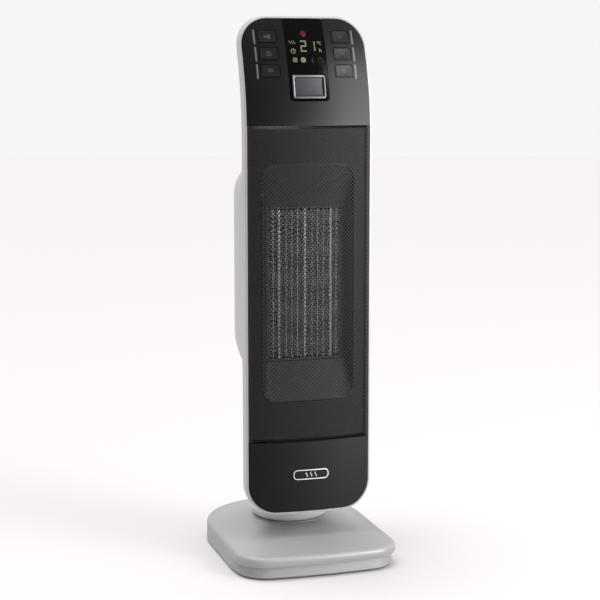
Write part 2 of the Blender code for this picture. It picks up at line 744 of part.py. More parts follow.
def make_rear_shell(tower, pivot_centre):
    heights = shell_heights()
    outer = loft([shell_section(z, 0, FRAME_DEPTH + SHELL_SEAM) for z in heights])
    shell = add("rear_shell", outer, "white_plastic", tower)
    inner_heights = [heights[0] + SHELL_WALL, *heights[1:-1], heights[-1] - SHELL_WALL]
    inner = [shell_section(z, SHELL_WALL, FRAME_DEPTH - CUT) for z in inner_heights]
    cut(shell, "hollow", loft(inner))
    bosses = [
        cylinder(SCREW_BOSS, screw_seat(x, z), HOUSING_REAR_Y, (x, z), 20, "Y") for x, z in screw_places()
    ]
    spare(shell.modifiers["hollow"].object, "bosses", gathered(bosses))
    neck_hole = cylinder(NECK_RADIUS - NECK_WALL - 4 * MM, 0, TOWER_BOTTOM + 2 * CUT, pivot_centre)
    cut(shell, "neck_hole", neck_hole)
    opening = rounded_rectangle(
        -INTAKE_HALF_WIDTH, INTAKE_HALF_WIDTH, INTAKE_BOTTOM, INTAKE_TOP, INTAKE_CORNER, 4
    )
    cut(shell, "intake", prism(opening, FAN_Y + FAN_RADIUS, HOUSING_REAR_Y + CUT, "Y"))
    pocket = rounded_rectangle(
        -HANDLE_HALF_WIDTH, HANDLE_HALF_WIDTH, HANDLE_BOTTOM, HANDLE_TOP, 10 * MM, 4
    )
    cut(shell, "handle", prism(pocket, FRONT_Y + FRAME_DEPTH + 20 * MM, HOUSING_REAR_Y, "Y"))
    holes = []
    for x, z in screw_places():
        seat = screw_seat(x, z)
        holes.append(cylinder(SCREW_HEAD + 0.8 * MM, seat + SCREW_FLOOR, HOUSING_REAR_Y, (x, z), 20, "Y"))
        through = seat + SCREW_FLOOR + 1 * MM
        holes.append(cylinder(SCREW_SHANK + GAP, seat - CUT, through, (x, z), 12, "Y"))
    cut(shell, "screw_wells", gathered(holes[::2]))
    cut(shell, "screw_holes", gathered(holes[1::2]))


def make_handle_cup(tower):
    """The pocket in the back that fingers reach into to carry the heater."""
    wall = 2 * MM
    middle = (HANDLE_BOTTOM + HANDLE_TOP) / 2
    depth = shell_station(middle)[1]
    rear = front_y(TOWER_WIDTH / 2, middle) + FRAME_DEPTH + depth
    outline = rounded_rectangle(
        -HANDLE_HALF_WIDTH + GAP,
        HANDLE_HALF_WIDTH - GAP,
        HANDLE_BOTTOM + GAP,
        HANDLE_TOP - GAP,
        10 * MM,
        4,
    )
    inner = rounded_rectangle(
        -HANDLE_HALF_WIDTH + GAP + wall,
        HANDLE_HALF_WIDTH - GAP - wall,
        HANDLE_BOTTOM + GAP + wall,
        HANDLE_TOP - GAP - wall,
        8 * MM,
        4,
    )
    block = prism(outline, rear - HANDLE_POCKET, rear + 2 * CUT, "Y")
    cup = add("handle_cup", block, "black_plastic", tower)
    heights = height_stations(HANDLE_BOTTOM - CUT, HANDLE_TOP + CUT)
    keep(cup, "shell_face", loft([shell_section(z, 0.4 * MM, FRAME_DEPTH, 32) for z in heights]))
    cut(cup, "pocket", prism(inner, rear - HANDLE_POCKET + wall, rear + 4 * CUT, "Y"))


def screw_places():
    """Left and right, bottom and top, in the order (x, z)."""
    return [(side * SCREW_X, z) for z in SCREW_ROWS for side in (-1, 1)]


def screw_seat(x, z):
    """The foremost y a screw boss in the rear shell may reach."""
    return front_y(x, z + SCREW_BOSS) + FRAME_DEPTH + SHELL_SEAM


def make_rear_screws(tower):
    for number, (x, z) in enumerate(screw_places(), 1):
        head = screw_seat(x, z) + SCREW_FLOOR + GAP
        tip = head - SCREW_LENGTH
        cap = cylinder(SCREW_HEAD, head, head + 2 * MM, (x, z), 16, "Y")
        screw = add(f"rear_screw_{number}", cap, "steel", tower)
        join(screw, "shank", cylinder(SCREW_SHANK, tip, head + 1 * MM, (x, z), 12, "Y"))


# ---------------------------------------------------------------- front covers and controls
def make_front_covers(tower):
    seam, past_top = 2 * GAP, TOWER_HEIGHT + CUT
    bottom = GRILLE_TOP + seam
    panel = front_piece("control_panel", "black_plastic", bottom, past_top, PANEL_THICKNESS, tower)
    strip = rounded_rectangle(
        -STRIP_HALF_WIDTH, STRIP_HALF_WIDTH, STRIP_BOTTOM, TOWER_HEIGHT + 4 * CUT, 5 * MM, 3
    )
    cut(panel, "strip", through_front(strip))
    for number, (x, z) in enumerate(key_places(), 1):
        hole = key_shape(x, z, KEY_WIDTH + 2 * GAP, KEY_HEIGHT + 2 * GAP, -3 * CUT, 3 * CUT)
        cut(panel, f"key_hole_{number}", hole)

    lens = front_piece("display_lens", "gloss_black", STRIP_BOTTOM - CUT, past_top, PANEL_THICKNESS, tower)
    half = STRIP_HALF_WIDTH - GAP
    strip = rounded_rectangle(-half, half, STRIP_BOTTOM + GAP, TOWER_HEIGHT + 4 * CUT, 5 * MM, 3)
    keep(lens, "strip", through_front(strip))
    hole = key_shape(0, POWER_Z, POWER_WIDTH + 2 * GAP, POWER_HEIGHT + 2 * GAP, -3 * CUT, 3 * CUT)
    cut(lens, "power_hole", hole)

    below, above = TOWER_BOTTOM - CUT, GRILLE_BOTTOM - seam
    front_piece("lower_fascia", "black_plastic", below, above, PANEL_THICKNESS, tower)

    half, rise = BADGE_WIDTH / 2, BADGE_HEIGHT / 2
    outline = rounded_rectangle(-half, half, BADGE_Z - rise, BADGE_Z + rise, 2 * MM, 2)
    badge = front_slab(-1.3 * MM, -GAP, BADGE_Z - BADGE_HEIGHT, BADGE_Z + BADGE_HEIGHT)
    keep(add("badge", badge, "aluminium", tower), "outline", through_front(outline))


def key_places():
    """Middles of the six small keys, left column first, from the top down."""
    return [(side * KEY_X, z) for side in (-1, 1) for z in reversed(KEY_ROWS)]


def make_keys(tower):
    for number, (x, z) in enumerate(key_places(), 1):
        shape = key_shape(x, z, KEY_WIDTH, KEY_HEIGHT, -KEY_PROUD, KEY_LENGTH - KEY_PROUD)
        add(f"key_{number}", shape, "key_plastic", tower, origin=(x, front_y(x, z), z))
    shape = key_shape(0, POWER_Z, POWER_WIDTH, POWER_HEIGHT, -KEY_PROUD, KEY_LENGTH - KEY_PROUD, 3 * MM)
    add("power_key", shape, "gloss_black", tower, origin=(0, front_y(0, POWER_Z), POWER_Z))

    board_low, board_high = KEY_ROWS[0] - 14 * MM, KEY_ROWS[2] + 8 * MM
    behind, thickness = 11 * MM, 1.6 * MM
    sections = []
    for x in (-56 * MM, 56 * MM):
        near = [(front_y(0, z) + behind, z) for z in (board_low, board_high)]
        sections.append(
            [(x, y, z) for y, z in near] + [(x, y + thickness, z) for y, z in reversed(near)]
        )
    add("control_board", loft(sections), "circuit_board", tower)


def make_front_grille(tower):
    thickness = GRILLE_THICKNESS
    grille = front_piece("front_grille", "black_plastic", GRILLE_BOTTOM, GRILLE_TOP, thickness, tower)
    columns, rows, rib, border = 9, 6, 2.4 * MM, 6 * MM
    pitch_x = 2 * (PANEL_HALF_WIDTH - border) / columns
    pitch_z = (GRILLE_TOP - GRILLE_BOTTOM - 2 * border) / rows
    slots = []
    for row in range(rows):
        bottom = GRILLE_BOTTOM + border + row * pitch_z + rib / 2
        top = bottom + pitch_z - rib
        for column in range(columns):
            left = -PANEL_HALF_WIDTH + border + column * pitch_x + rib / 2
            right = left + pitch_x - rib
            slots.append(box((left, FRONT_Y - CUT, bottom), (right, FRONT_Y + 4 * CUT, top)))
    cut(grille, "slots", gathered(slots))


def make_baffle(tower):
    """The sheet behind the grille that closes the room round the outlet duct's mouth."""
    front = max(PANEL_THICKNESS, LEDGE_DEPTH) + GAP
    low, high = GRILLE_BOTTOM + BAFFLE_MARGIN, GRILLE_TOP - BAFFLE_MARGIN
    slab = front_slab(front, front + BAFFLE_THICKNESS, low, high)
    baffle = add("outlet_baffle", slab, "black_plastic", tower)
    keep(baffle, "outline", through_front(front_outline(RIM_WIDTH + LEDGE_WIDTH, GAP)))
    side, rise = CHAMBER_HALF_WIDTH + DUCT_WALL + GAP, DUCT_WALL + GAP
    corner = CHAMBER_CORNER + DUCT_WALL
    mouth = rounded_rectangle(-side, side, CHAMBER_BOTTOM - rise, CHAMBER_TOP + rise, corner, 5)
    cut(baffle, "mouth", through_front(mouth))


# ---------------------------------------------------------------- heating element and duct
def duct_form(wall, front_extra=0.0, rear_extra=0.0):
    """The outlet duct: a wide mouth behind the grille that narrows to the element."""
    mouth_y = front_y(CHAMBER_HALF_WIDTH, CHAMBER_TOP) + GRILLE_THICKNESS + 1 * MM
    stations = (
        (mouth_y - front_extra, CHAMBER_HALF_WIDTH, CHAMBER_BOTTOM, CHAMBER_TOP, CHAMBER_CORNER),
        (ELEMENT_FRONT_Y - 2 * MM, THROAT_HALF_WIDTH, THROAT_BOTTOM, THROAT_TOP, GAP),
        (THROAT_REAR_Y + rear_extra, THROAT_HALF_WIDTH, THROAT_BOTTOM, THROAT_TOP, GAP),
    )
    sections = []
    for y, half, low, high, radius in stations:
        outline = rounded_rectangle(-half - wall, half + wall, low - wall, high + wall, radius + wall, 4)
        sections.append([(x, y, z) for x, z in outline])
    return loft(sections)


def make_duct(tower):
    duct = add("outlet_duct", duct_form(DUCT_WALL), "heat_plastic", tower)
    cut(duct, "airway", duct_form(0, front_extra=0.02 * MM, rear_extra=CUT))


def zigzag(left, right):
    """A corrugated strip between two upright bars, seen from the front."""
    low, high = ELEMENT_BOTTOM + 2 * GAP, ELEMENT_TOP - 2 * GAP
    folds = round((high - low) / (FIN_PITCH / 2))
    step = (high - low) / folds
    thick = FIN_THICKNESS * math.hypot(right - left, step) / step
    heights = [low + i * step for i in range(folds + 1)]
    near = [(right - thick if i % 2 else left, z) for i, z in enumerate(heights)]
    far = [(right if i % 2 else left + thick, z) for i, z in enumerate(heights)]
    return near + far[::-1]


def make_element(tower):
    front, rear = ELEMENT_FRONT_Y, ELEMENT_FRONT_Y + ELEMENT_DEPTH
    half = ELEMENT_HALF_WIDTH + ELEMENT_FRAME
    frame = box(
        (-half, front, ELEMENT_BOTTOM - ELEMENT_FRAME), (half, rear, ELEMENT_TOP + ELEMENT_FRAME)
    )
    frame = add("element_frame", frame, "heat_plastic", tower)
    opening = box(
        (-ELEMENT_HALF_WIDTH, front - CUT, ELEMENT_BOTTOM), (ELEMENT_HALF_WIDTH, rear + CUT, ELEMENT_TOP)
    )
    cut(frame, "opening", opening)
    inset = 0.5 * MM
    low, high = ELEMENT_BOTTOM + GAP, ELEMENT_TOP - GAP
    for number, place in enumerate((-1, 0, 1), 1):
        middle = place * BAR_SPACING
        half = BAR_WIDTH / 2
        bar = box((middle - half, front + inset, low), (middle + half, rear - inset, high))
        add(f"heater_bar_{number}", bar, "aluminium", tower)
    edges = [-ELEMENT_HALF_WIDTH]
    for place in (-1, 0, 1):
        edges += [place * BAR_SPACING - BAR_WIDTH / 2, place * BAR_SPACING + BAR_WIDTH / 2]
    edges.append(ELEMENT_HALF_WIDTH)
    for number, (left, right) in enumerate(zip(edges[::2], edges[1::2]), 1):
        fin = prism(zigzag(left + GAP, right - GAP), front + 2 * inset, rear - 2 * inset, "Y")
        add(f"fin_pack_{number}", fin, "aluminium", tower)

    disc_z = THROAT_TOP + DUCT_WALL + GAP
    cutout = cylinder(8 * MM, disc_z, disc_z + 9 * MM, (24 * MM, (front + rear) / 2), 20)
    add("thermal_cutout", cutout, "steel", tower)


# ---------------------------------------------------------------- blower
def polar(radius, degrees):
    angle = math.radians(degrees)
    return (radius * math.cos(angle), FAN_Y + radius * math.sin(angle))


def make_fan_casing(tower):
    low, high = LOWER_PLATE_TOP + GAP, UPPER_PLATE_BOTTOM - GAP
    wall = SCROLL_WALL
    start_degrees, steps = 78, 12
    join_x, join_y = THROAT_HALF_WIDTH, THROAT_REAR_Y + GAP
    end_radius = math.hypot(join_x, join_y - FAN_Y)
    end_degrees = math.degrees(math.atan2(join_y - FAN_Y, join_x))
    first_radius = FAN_RADIUS + SCROLL_CLEARANCE
    inner, outer = [], []
    for i in range(steps + 1):
        share = i / steps
        radius = first_radius + (end_radius - first_radius) * share
        degrees = start_degrees + (end_degrees - start_degrees) * share
        inner.append(polar(radius, degrees))
        outer.append(polar(radius + wall, degrees))
    inner[-1] = (join_x, join_y)
    outer[-1] = (join_x + wall, join_y)
    add("fan_scroll", prism(inner + outer[::-1], low, high), "heat_plastic", tower)

    nose = polar(FAN_RADIUS + SCROLL_CLEARANCE, 205)
    tongue = [
        (-join_x - wall, join_y),
        (-join_x, join_y),
        nose,
        (nose[0] - 1.5 * MM, nose[1] + 4 * MM),
        (-join_x - 6 * MM, nose[1] + 8 * MM),
        (-join_x - 8 * MM, nose[1] + 6 * MM),
        (nose[0] - 6 * MM, nose[1] + 1 * MM),
    ]
    add("fan_tongue", prism(tongue, low, high), "heat_plastic", tower)

    half, rear = THROAT_HALF_WIDTH + 7.4 * MM, FAN_Y + FAN_RADIUS + 4.4 * MM
    front, corner = THROAT_REAR_Y + 1 * MM, 30 * MM
    plate = [(-half, front), (half, front)]
    for side, first in ((1, 0), (-1, 90)):
        for i in range(6):
            angle = math.radians(first + 18 * i)
            x, y = corner * math.cos(angle), corner * math.sin(angle)
            plate.append((side * (half - corner) + x, rear - corner + y))
    for name, bottom in (
        ("fan_lower_plate", LOWER_PLATE_TOP - PLATE_THICKNESS),
        ("fan_upper_plate", UPPER_PLATE_BOTTOM),
    ):
        made = add(name, prism(plate, bottom, bottom + PLATE_THICKNESS), "heat_plastic", tower)
        heights = (bottom - CUT, bottom + PLATE_THICKNESS + CUT)
        keep(made, "casing", loft([shell_section(z, SHELL_WALL + 2 * GAP, FRAME_DEPTH) for z in heights]))
        hole = SHAFT_RADIUS + (1.2 * MM if bottom < ELEMENT_TOP / 2 + ELEMENT_BOTTOM / 2 else 2.5 * MM)
        cut(made, "shaft_hole", cylinder(hole, bottom - CUT, bottom + 2 * CUT, (0, FAN_Y), 20))
    bush = ring(
        SHAFT_RADIUS + 2.5 * MM - GAP,
        SHAFT_RADIUS + 0.08 * MM,
        UPPER_PLATE_BOTTOM + GAP,
        UPPER_PLATE_BOTTOM + 8 * MM,
        (0, FAN_Y),
        24,
    )
    add("fan_bush", bush, "nylon", tower)


def make_rotor(tower):
    """What turns on the fan's shaft: impeller, shaft and motor rotor."""
    axis = empty("fan_axis", (0, FAN_Y, FAN_BOTTOM), tower)
    centre = (0, FAN_Y)
    bore = SHAFT_RADIUS + GAP
    discs = gathered(
        [
            ring(FAN_RADIUS, bore, FAN_BOTTOM, FAN_BOTTOM + FAN_DISC, centre),
            ring(FAN_RADIUS, bore, FAN_TOP - FAN_DISC, FAN_TOP, centre),
            ring(
                FAN_RADIUS,
                FAN_RADIUS - FAN_BLADE_DEPTH - 1 * MM,
                (FAN_BOTTOM + FAN_TOP - FAN_DISC) / 2,
                (FAN_BOTTOM + FAN_TOP + FAN_DISC) / 2,
                centre,
            ),
        ]
    )
    impeller = add("fan_impeller", discs, "black_plastic", axis)
    blades = []
    for number in range(FAN_BLADES):
        bearing = 360 * number / FAN_BLADES
        near, far = [], []
        for i in range(3):
            radius = FAN_RADIUS - 0.6 * MM - FAN_BLADE_DEPTH * i / 2
            sweep = bearing + 4.5 * i * (1.9 - 0.45 * i)
            near.append(polar(radius, sweep - 1.2))
            far.append(polar(radius, sweep + 1.2))
        blades.append(prism(near + far[::-1], FAN_BOTTOM + 0.5 * FAN_DISC, FAN_TOP - 0.5 * FAN_DISC))
    join(impeller, "blades", gathered(blades))

    core_bottom, proud = MOTOR_TOP - MOTOR_CORE_HEIGHT, 1 * MM
    shaft = cylinder(SHAFT_RADIUS, core_bottom - 8 * MM, UPPER_PLATE_BOTTOM + 7 * MM, centre, 20)
    add("fan_shaft", shaft, "steel", axis)
    bore = SHAFT_RADIUS + GAP
    rotor = ring(MOTOR_ROTOR_RADIUS, bore, core_bottom - proud, MOTOR_TOP + proud, centre, 24)
    add("motor_rotor", rotor, "steel", axis)


def make_motor(tower):
    """The open-frame motor under the blower."""
    low, high = MOTOR_TOP - MOTOR_CORE_HEIGHT, MOTOR_TOP
    half, reach, limb = 25 * MM, 34 * MM, 11 * MM
    block = box((-half, FAN_Y - reach, low), (half, FAN_Y + 20 * MM, high))
    core = add("motor_core", block, "steel", tower)
    bore = cylinder(MOTOR_ROTOR_RADIUS + 0.6 * MM, low - CUT, high + CUT, (0, FAN_Y), 28)
    cut(core, "rotor_bore", bore)
    window = box(
        (-half + limb, FAN_Y - reach - CUT, low - CUT), (half - limb, FAN_Y - 18 * MM, high + CUT)
    )
    cut(core, "window", window)
    coil_low, coil_high = low - 5 * MM, high + 5 * MM
    inner, outer = half - limb - 4 * MM, half + 5 * MM
    coil = box((inner, FAN_Y - reach + 1 * MM, coil_low), (outer, FAN_Y - 20 * MM, coil_high))
    coil = add("motor_coil", coil, "copper", tower)
    core_gap = box(
        (half - limb - GAP, FAN_Y - reach - CUT, low - GAP), (half + GAP, FAN_Y, high + GAP)
    )
    cut(coil, "core_way", core_gap)


# ---------------------------------------------------------------- rear intake and boards
def polyline_points(points, share=20):
    """The line through points, each stretch divided evenly."""
    fine = []
    for (x, y), (u, v) in zip(points, points[1:]):
        fine += [(x + (u - x) * i / share, y + (v - y) * i / share) for i in range(share)]
    return [*fine, points[-1]]


def make_intake(tower):
    """The grille that lifts off the back, with the dust filter clipped inside it."""
    slide = empty("filter_pull", (0, HOUSING_REAR_Y, (INTAKE_BOTTOM + INTAKE_TOP) / 2), tower)
    gap, border, louvre = 0.5 * MM, 6 * MM, 2 * MM
    outline = rounded_rectangle(
        -INTAKE_HALF_WIDTH + gap,
        INTAKE_HALF_WIDTH - gap,
        INTAKE_BOTTOM + gap,
        INTAKE_TOP - gap,
        INTAKE_CORNER,
        4,
    )
    middle = HOUSING_BOTTOM + 1 * MM
    thick = 3 * MM
    outer = [(x, y) for x, y, _ in shell_section(middle, 0, FRAME_DEPTH)[: SHELL_STEPS + 1]]
    inner = [(x, y) for x, y, _ in shell_section(middle, thick, FRAME_DEPTH)[: SHELL_STEPS + 1]]
    plate = prism(outer + inner[::-1], INTAKE_BOTTOM - CUT, INTAKE_TOP + CUT)
    grille = add("intake_grille", plate, "white_plastic", slide)
    keep(grille, "outline", prism(outline, FAN_Y, HOUSING_REAR_Y + CUT, "Y"))
    pitch = (INTAKE_TOP - INTAKE_BOTTOM - 2 * border) / LOUVRE_COUNT
    slots = []
    for i in range(LOUVRE_COUNT):
        bottom = INTAKE_BOTTOM + border + i * pitch + louvre / 2
        for left, right in (
            (-INTAKE_HALF_WIDTH + border, -louvre),
            (louvre, INTAKE_HALF_WIDTH - border),
        ):
            top = bottom + pitch - louvre
            slots.append(box((left, FAN_Y, bottom), (right, HOUSING_REAR_Y + CUT, top)))
    cut(grille, "louvres", gathered(slots))

    rear = FAN_Y + FAN_RADIUS + SCROLL_CLEARANCE + SCROLL_WALL + 2.4 * MM
    room = [x for x, y in polyline_points(inner) if y > rear + gap]
    half = min(max(room) - gap, INTAKE_HALF_WIDTH - 4 * MM)
    low, high = INTAKE_BOTTOM + 3 * MM, INTAKE_TOP - 3 * MM
    block = box((-half, rear - 2 * MM, low), (half, rear, high))
    filter_frame = add("dust_filter", block, "filter_mesh", slide)
    border, bar, columns, rows = 4 * MM, 2 * MM, 3, 6
    pitch_x = (2 * half - 2 * border + bar) / columns
    pitch_z = (high - low - 2 * border + bar) / rows
    windows = []
    for i in range(columns):
        left = -half + border + i * pitch_x
        for j in range(rows):
            bottom = low + border + j * pitch_z
            far = (left + pitch_x - bar, rear + CUT, bottom + pitch_z - bar)
            windows.append(box((left, rear - CUT, bottom), far))
    cut(filter_frame, "windows", gathered(windows))


def make_power_board(tower):
    """The supply board with its relays, upright behind the lower fascia."""
    board_y, thickness, proud = FRONT_Y + 35 * MM, 1.6 * MM, 1 * MM
    half, low, high = 45 * MM, TOWER_BOTTOM + 22 * MM, GRILLE_BOTTOM - 4 * MM
    sheet = box((-half, board_y, low), (half, board_y + thickness, high))
    board = add("power_board", sheet, "circuit_board", tower)
    near = board_y + proud
    relays = []
    for x in (-38 * MM, -16 * MM):
        relays.append(box((x, near, low + 8 * MM), (x + 16 * MM, near + 15 * MM, low + 28 * MM)))
    relays.append(box((8 * MM, near, low + 30 * MM), (32 * MM, near + 19 * MM, low + 54 * MM)))
    join(board, "relays", gathered(relays))


def main():
    clear_scene()
    pivot_centre = (0, PIVOT_Y)
    make_base(pivot_centre)
    make_tilt_switch()
    tower = empty("oscillation_axis", (0, PIVOT_Y, NECK_BOTTOM))
    make_turntable(pivot_centre, tower)
    make_front_frame(tower)
    make_rear_shell(tower, pivot_centre)
    make_handle_cup(tower)
    make_rear_screws(tower)
    make_front_covers(tower)
    make_keys(tower)
    make_front_grille(tower)
    make_baffle(tower)
    make_duct(tower)
    make_element(tower)
    make_fan_casing(tower)
    make_rotor(tower)
    make_motor(tower)
    make_intake(tower)
    make_power_board(tower)


main()
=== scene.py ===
"""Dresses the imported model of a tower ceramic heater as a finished, working product.

Each operator makes one piece or one group of like pieces. All sizes are in metres.
"""

import math

import bmesh
import bpy
from bpy.props import FloatProperty, FloatVectorProperty, IntProperty, PointerProperty
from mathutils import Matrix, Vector


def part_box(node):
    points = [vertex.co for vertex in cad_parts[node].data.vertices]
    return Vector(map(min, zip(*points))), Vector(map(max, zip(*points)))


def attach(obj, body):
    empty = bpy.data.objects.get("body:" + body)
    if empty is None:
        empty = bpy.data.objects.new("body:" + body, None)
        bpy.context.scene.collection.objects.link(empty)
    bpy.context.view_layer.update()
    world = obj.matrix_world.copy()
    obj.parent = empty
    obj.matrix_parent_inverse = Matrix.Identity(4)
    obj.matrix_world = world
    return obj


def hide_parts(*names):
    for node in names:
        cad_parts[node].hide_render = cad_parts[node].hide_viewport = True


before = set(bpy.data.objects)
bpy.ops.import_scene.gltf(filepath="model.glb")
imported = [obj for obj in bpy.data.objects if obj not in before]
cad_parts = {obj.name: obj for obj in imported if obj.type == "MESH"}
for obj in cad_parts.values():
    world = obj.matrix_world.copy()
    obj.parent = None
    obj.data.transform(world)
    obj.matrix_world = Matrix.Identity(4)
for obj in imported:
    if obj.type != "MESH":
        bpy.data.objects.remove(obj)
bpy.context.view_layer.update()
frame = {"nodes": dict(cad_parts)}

bl_info = {
    "name": "Tower Ceramic Heater",
    "version": (1, 0, 0),
    "blender": (4, 5, 0),
    "location": "View3D > Sidebar > Heater",
    "description": "Makes the visible casings, controls, grilles and element of a tower ceramic heater",
    "category": "Object",
}

MM = 0.001
SEAM = 0.3 * MM  # between the covers and the rim they sit in
CUT = 4 * MM  # how far a cutter runs past what it cuts
# A rear screw's head: the straight rim, and the dome above it.
SCREW_RIM = 0.9 * MM
SCREW_DOME = 1.1 * MM
# The cross's second arm stops a little higher than the first, so that their floors don't coincide.
SCREW_ARM_FLOOR = 0.95 * MM
# Painted shade: how much darker than the element's own colour its bars and fins are painted, for the shadow deep
# behind the grille.
BAR_PAINTED_SHADE = 0.5
FIN_PAINTED_SHADE = 0.72
NODES = frame["nodes"]


def hex_colour(text):
    """An sRGB hex colour as linear red, green and blue."""
    parts = [int(text[i : i + 2], 16) / 255 for i in (1, 3, 5)]
    return tuple(c / 12.92 if c <= 0.04045 else ((c + 0.055) / 1.055) ** 2.4 for c in parts)


def length(name, description, millimetres):
    return FloatProperty(
        name=name, description=description, default=millimetres * MM, unit="LENGTH", precision=4
    )


def tint(name, description, text):
    return FloatVectorProperty(
        name=name, description=description, default=hex_colour(text), subtype="COLOR", min=0, max=1, size=3
    )


class HeaterSizes(bpy.types.PropertyGroup):
    """Sizes of the visible pieces."""

    crown: length("Front crown", "How far the front's sides lie behind its middle", 8.9)
    bend_height: length("Bend height", "Height at which the front starts to lean back", 513)
    setback: length("Bend setback", "How far back the top edge lies", 41)
    corner: length("Tower corner", "Corner radius of the tower seen from the front", 36)
    rim: length("Rim width", "Width of the pale rim round the dark front", 2.4)
    frame_depth: length("Frame depth", "Depth of the front frame's side wall", 12)
    cover: length("Cover thickness", "Thickness of the panels in the front", 2.6)
    edge: length("Edge radius", "Radius on the covers' front edges", 0.7)
    hole_pitch: length("Hole pitch", "Distance between openings in one row of the grille", 4.8)
    strut: length("Grille strut", "Width of the webs between the grille's openings", 0.75)
    fin_pitch: length("Fin pitch", "Distance between the element's fins", 2.6)
    fin_thickness: length("Fin thickness", "Thickness of one fin", 0.5)
    louvres: IntProperty(name="Louvres", description="Slats in the rear intake", default=22, min=4)
    shell_wall: length("Shell wall", "Wall of the rear shell", 2.5)
    shell_depth: length("Shell depth", "Depth of the shell's plain upper part", 45)
    housing_width: length("Housing half width", "Half width of the blower housing", 69)
    housing_bottom: length("Housing bottom", "Where the housing reaches its full depth", 272)
    housing_top: length("Housing top", "Where the housing starts to run out upwards", 443)
    stem_width: length("Stem half width", "Half width of the shell below the housing", 48)
    stem_rear: length("Stem rear", "Rear of the shell below the housing", 62.5)
    base_step: length("Base step", "How far the base's front steps back under its edge", 4.6)
    base_corner: length("Base corner", "Radius of the base's front corners", 34)
    base_bow: length("Base bow", "How far the base's front corners lie behind its middle", 8)
    base_edge: length("Base edge height", "Height of the base's rounded edge", 28)
    base_fillet: length("Base fillet", "Radius of the base's upper edge", 5)


class HeaterColours(bpy.types.PropertyGroup):
    """Colours of the visible pieces."""

    shell: tint("Shell", "Pale plastic of the frame and rear shell", "#ABABAC")
    # Painted shade: the base is the shell's plastic, given this darker colour for the shade it lies in; the neck
    # does not use it and has its own lighter colour.
    base: tint("Base", "Pale grey plastic of the base and neck", "#989899")
    panel: tint("Panel", "Charcoal lacquer of the covers", "#090909")
    grille: tint("Grille", "Enamel of the perforated front", "#1F1F20")
    key: tint("Keys", "Plastic of the small keys", "#101011")
    guide: tint("Light bars", "Frosted bars beside the keys", "#4C4F4D")
    lens: tint("Lens", "Display window", "#030304")
    frame: tint("Key frame", "Metallised frame of the power key", "#57585A")
    digits: tint("Digits", "Lit numbers and signs", "#B4BC92")
    standby: tint("Standby light", "Round red light", "#8E1E34")
    alarm: tint("Warning signs", "Dim red signs", "#4A1A26")
    element: tint("Element", "Aluminium of the bars and fins", "#929290")
    duct: tint("Duct", "Heat-resistant plastic round the element", "#2E2D2C")
    floor: tint("Floor", "Studio floor and backdrop", "#CCC9CA")


# ---------------------------------------------------------------- materials
def add_node(tree, kind, values=None, links=None, **settings):
    """A node with its constants, its links from (node, output) pairs, and its settings."""
    node = tree.nodes.new(kind)
    for name, value in settings.items():
        setattr(node, name, value)
    for name, value in (values or {}).items():
        node.inputs[name].default_value = value
    for name, (source, output) in (links or {}).items():
        tree.links.new(source.outputs[output], node.inputs[name])
    return node


def start_material(name):
    """(material, tree, shader, object coordinates) of a new or remade material."""
    material = bpy.data.materials.get(name) or bpy.data.materials.new(name)
    material.use_nodes = True
    tree = material.node_tree
    tree.nodes.clear()
    shader = add_node(tree, "ShaderNodeBsdfPrincipled")
    output = add_node(tree, "ShaderNodeOutputMaterial", links={"Surface": (shader, "BSDF")})
    output.target = "ALL"
    place = add_node(tree, "ShaderNodeTexCoord")
    return material, tree, shader, place


def moulded(name, colour, roughness, grain, relief, variation=0.04, **shader_values):
    """A plastic, lacquer, rubber or enamel: fine grain, cloudy colour and slightly uneven gloss.

    grain is the texture's size and relief its height, both in metres.
    """
    material, tree, shader, place = start_material(name)
    shader.inputs["Metallic"].default_value = 0
    for socket, value in shader_values.items():
        shader.inputs[socket.replace("_", " ")].default_value = value
    cloud = add_node(
        tree,
        "ShaderNodeTexNoise",
        {"Scale": 1 / (60 * MM), "Detail": 3.0, "Roughness": 0.55},
        {"Vector": (place, "Object")},
    )
    dark = tuple(c * (1 - variation) for c in colour)
    light = tuple(min(1, c * (1 + variation)) for c in colour)
    mix = add_node(
        tree,
        "ShaderNodeMix",
        links={"Factor": (cloud, "Fac")},
        data_type="RGBA",
    )
    mix.inputs[6].default_value = (*dark, 1)
    mix.inputs[7].default_value = (*light, 1)
    tree.links.new(mix.outputs[2], shader.inputs["Base Color"])
    fine = add_node(
        tree,
        "ShaderNodeTexNoise",
        {"Scale": 1 / grain, "Detail": 2.0, "Roughness": 0.6},
        {"Vector": (place, "Object")},
    )
    gloss = add_node(
        tree,
        "ShaderNodeMapRange",
        {"From Min": 0.3, "From Max": 0.7, "To Min": roughness - 0.04, "To Max": roughness + 0.04},
        {"Value": (fine, "Fac")},
    )
    tree.links.new(gloss.outputs["Result"], shader.inputs["Roughness"])
    bump = add_node(
        tree, "ShaderNodeBump", {"Strength": 1.0, "Distance": relief}, {"Height": (fine, "Fac")}
    )
    tree.links.new(bump.outputs["Normal"], shader.inputs["Normal"])
    return material


def metal(name, colour, roughness, stroke, direction, relief):
    """A bare metal with drawn or brushed lines: stroke is their spacing, direction stretches them."""
    material, tree, shader, place = start_material(name)
    shader.inputs["Base Color"].default_value = (*colour, 1)
    shader.inputs["Metallic"].default_value = 1
    stretch = add_node(tree, "ShaderNodeMapping", {"Scale": direction}, {"Vector": (place, "Object")})
    lines = add_node(
        tree,
        "ShaderNodeTexNoise",
        {"Scale": 1 / stroke, "Detail": 3.0, "Roughness": 0.6},
        {"Vector": (stretch, "Vector")},
    )
    gloss = add_node(
        tree,
        "ShaderNodeMapRange",
        {"From Min": 0.25, "From Max": 0.75, "To Min": roughness - 0.1, "To Max": roughness + 0.12},
        {"Value": (lines, "Fac")},
    )
    tree.links.new(gloss.outputs["Result"], shader.inputs["Roughness"])
    bump = add_node(
        tree, "ShaderNodeBump", {"Strength": 0.8, "Distance": relief}, {"Height": (lines, "Fac")}
    )
    tree.links.new(bump.outputs["Normal"], shader.inputs["Normal"])
    return material


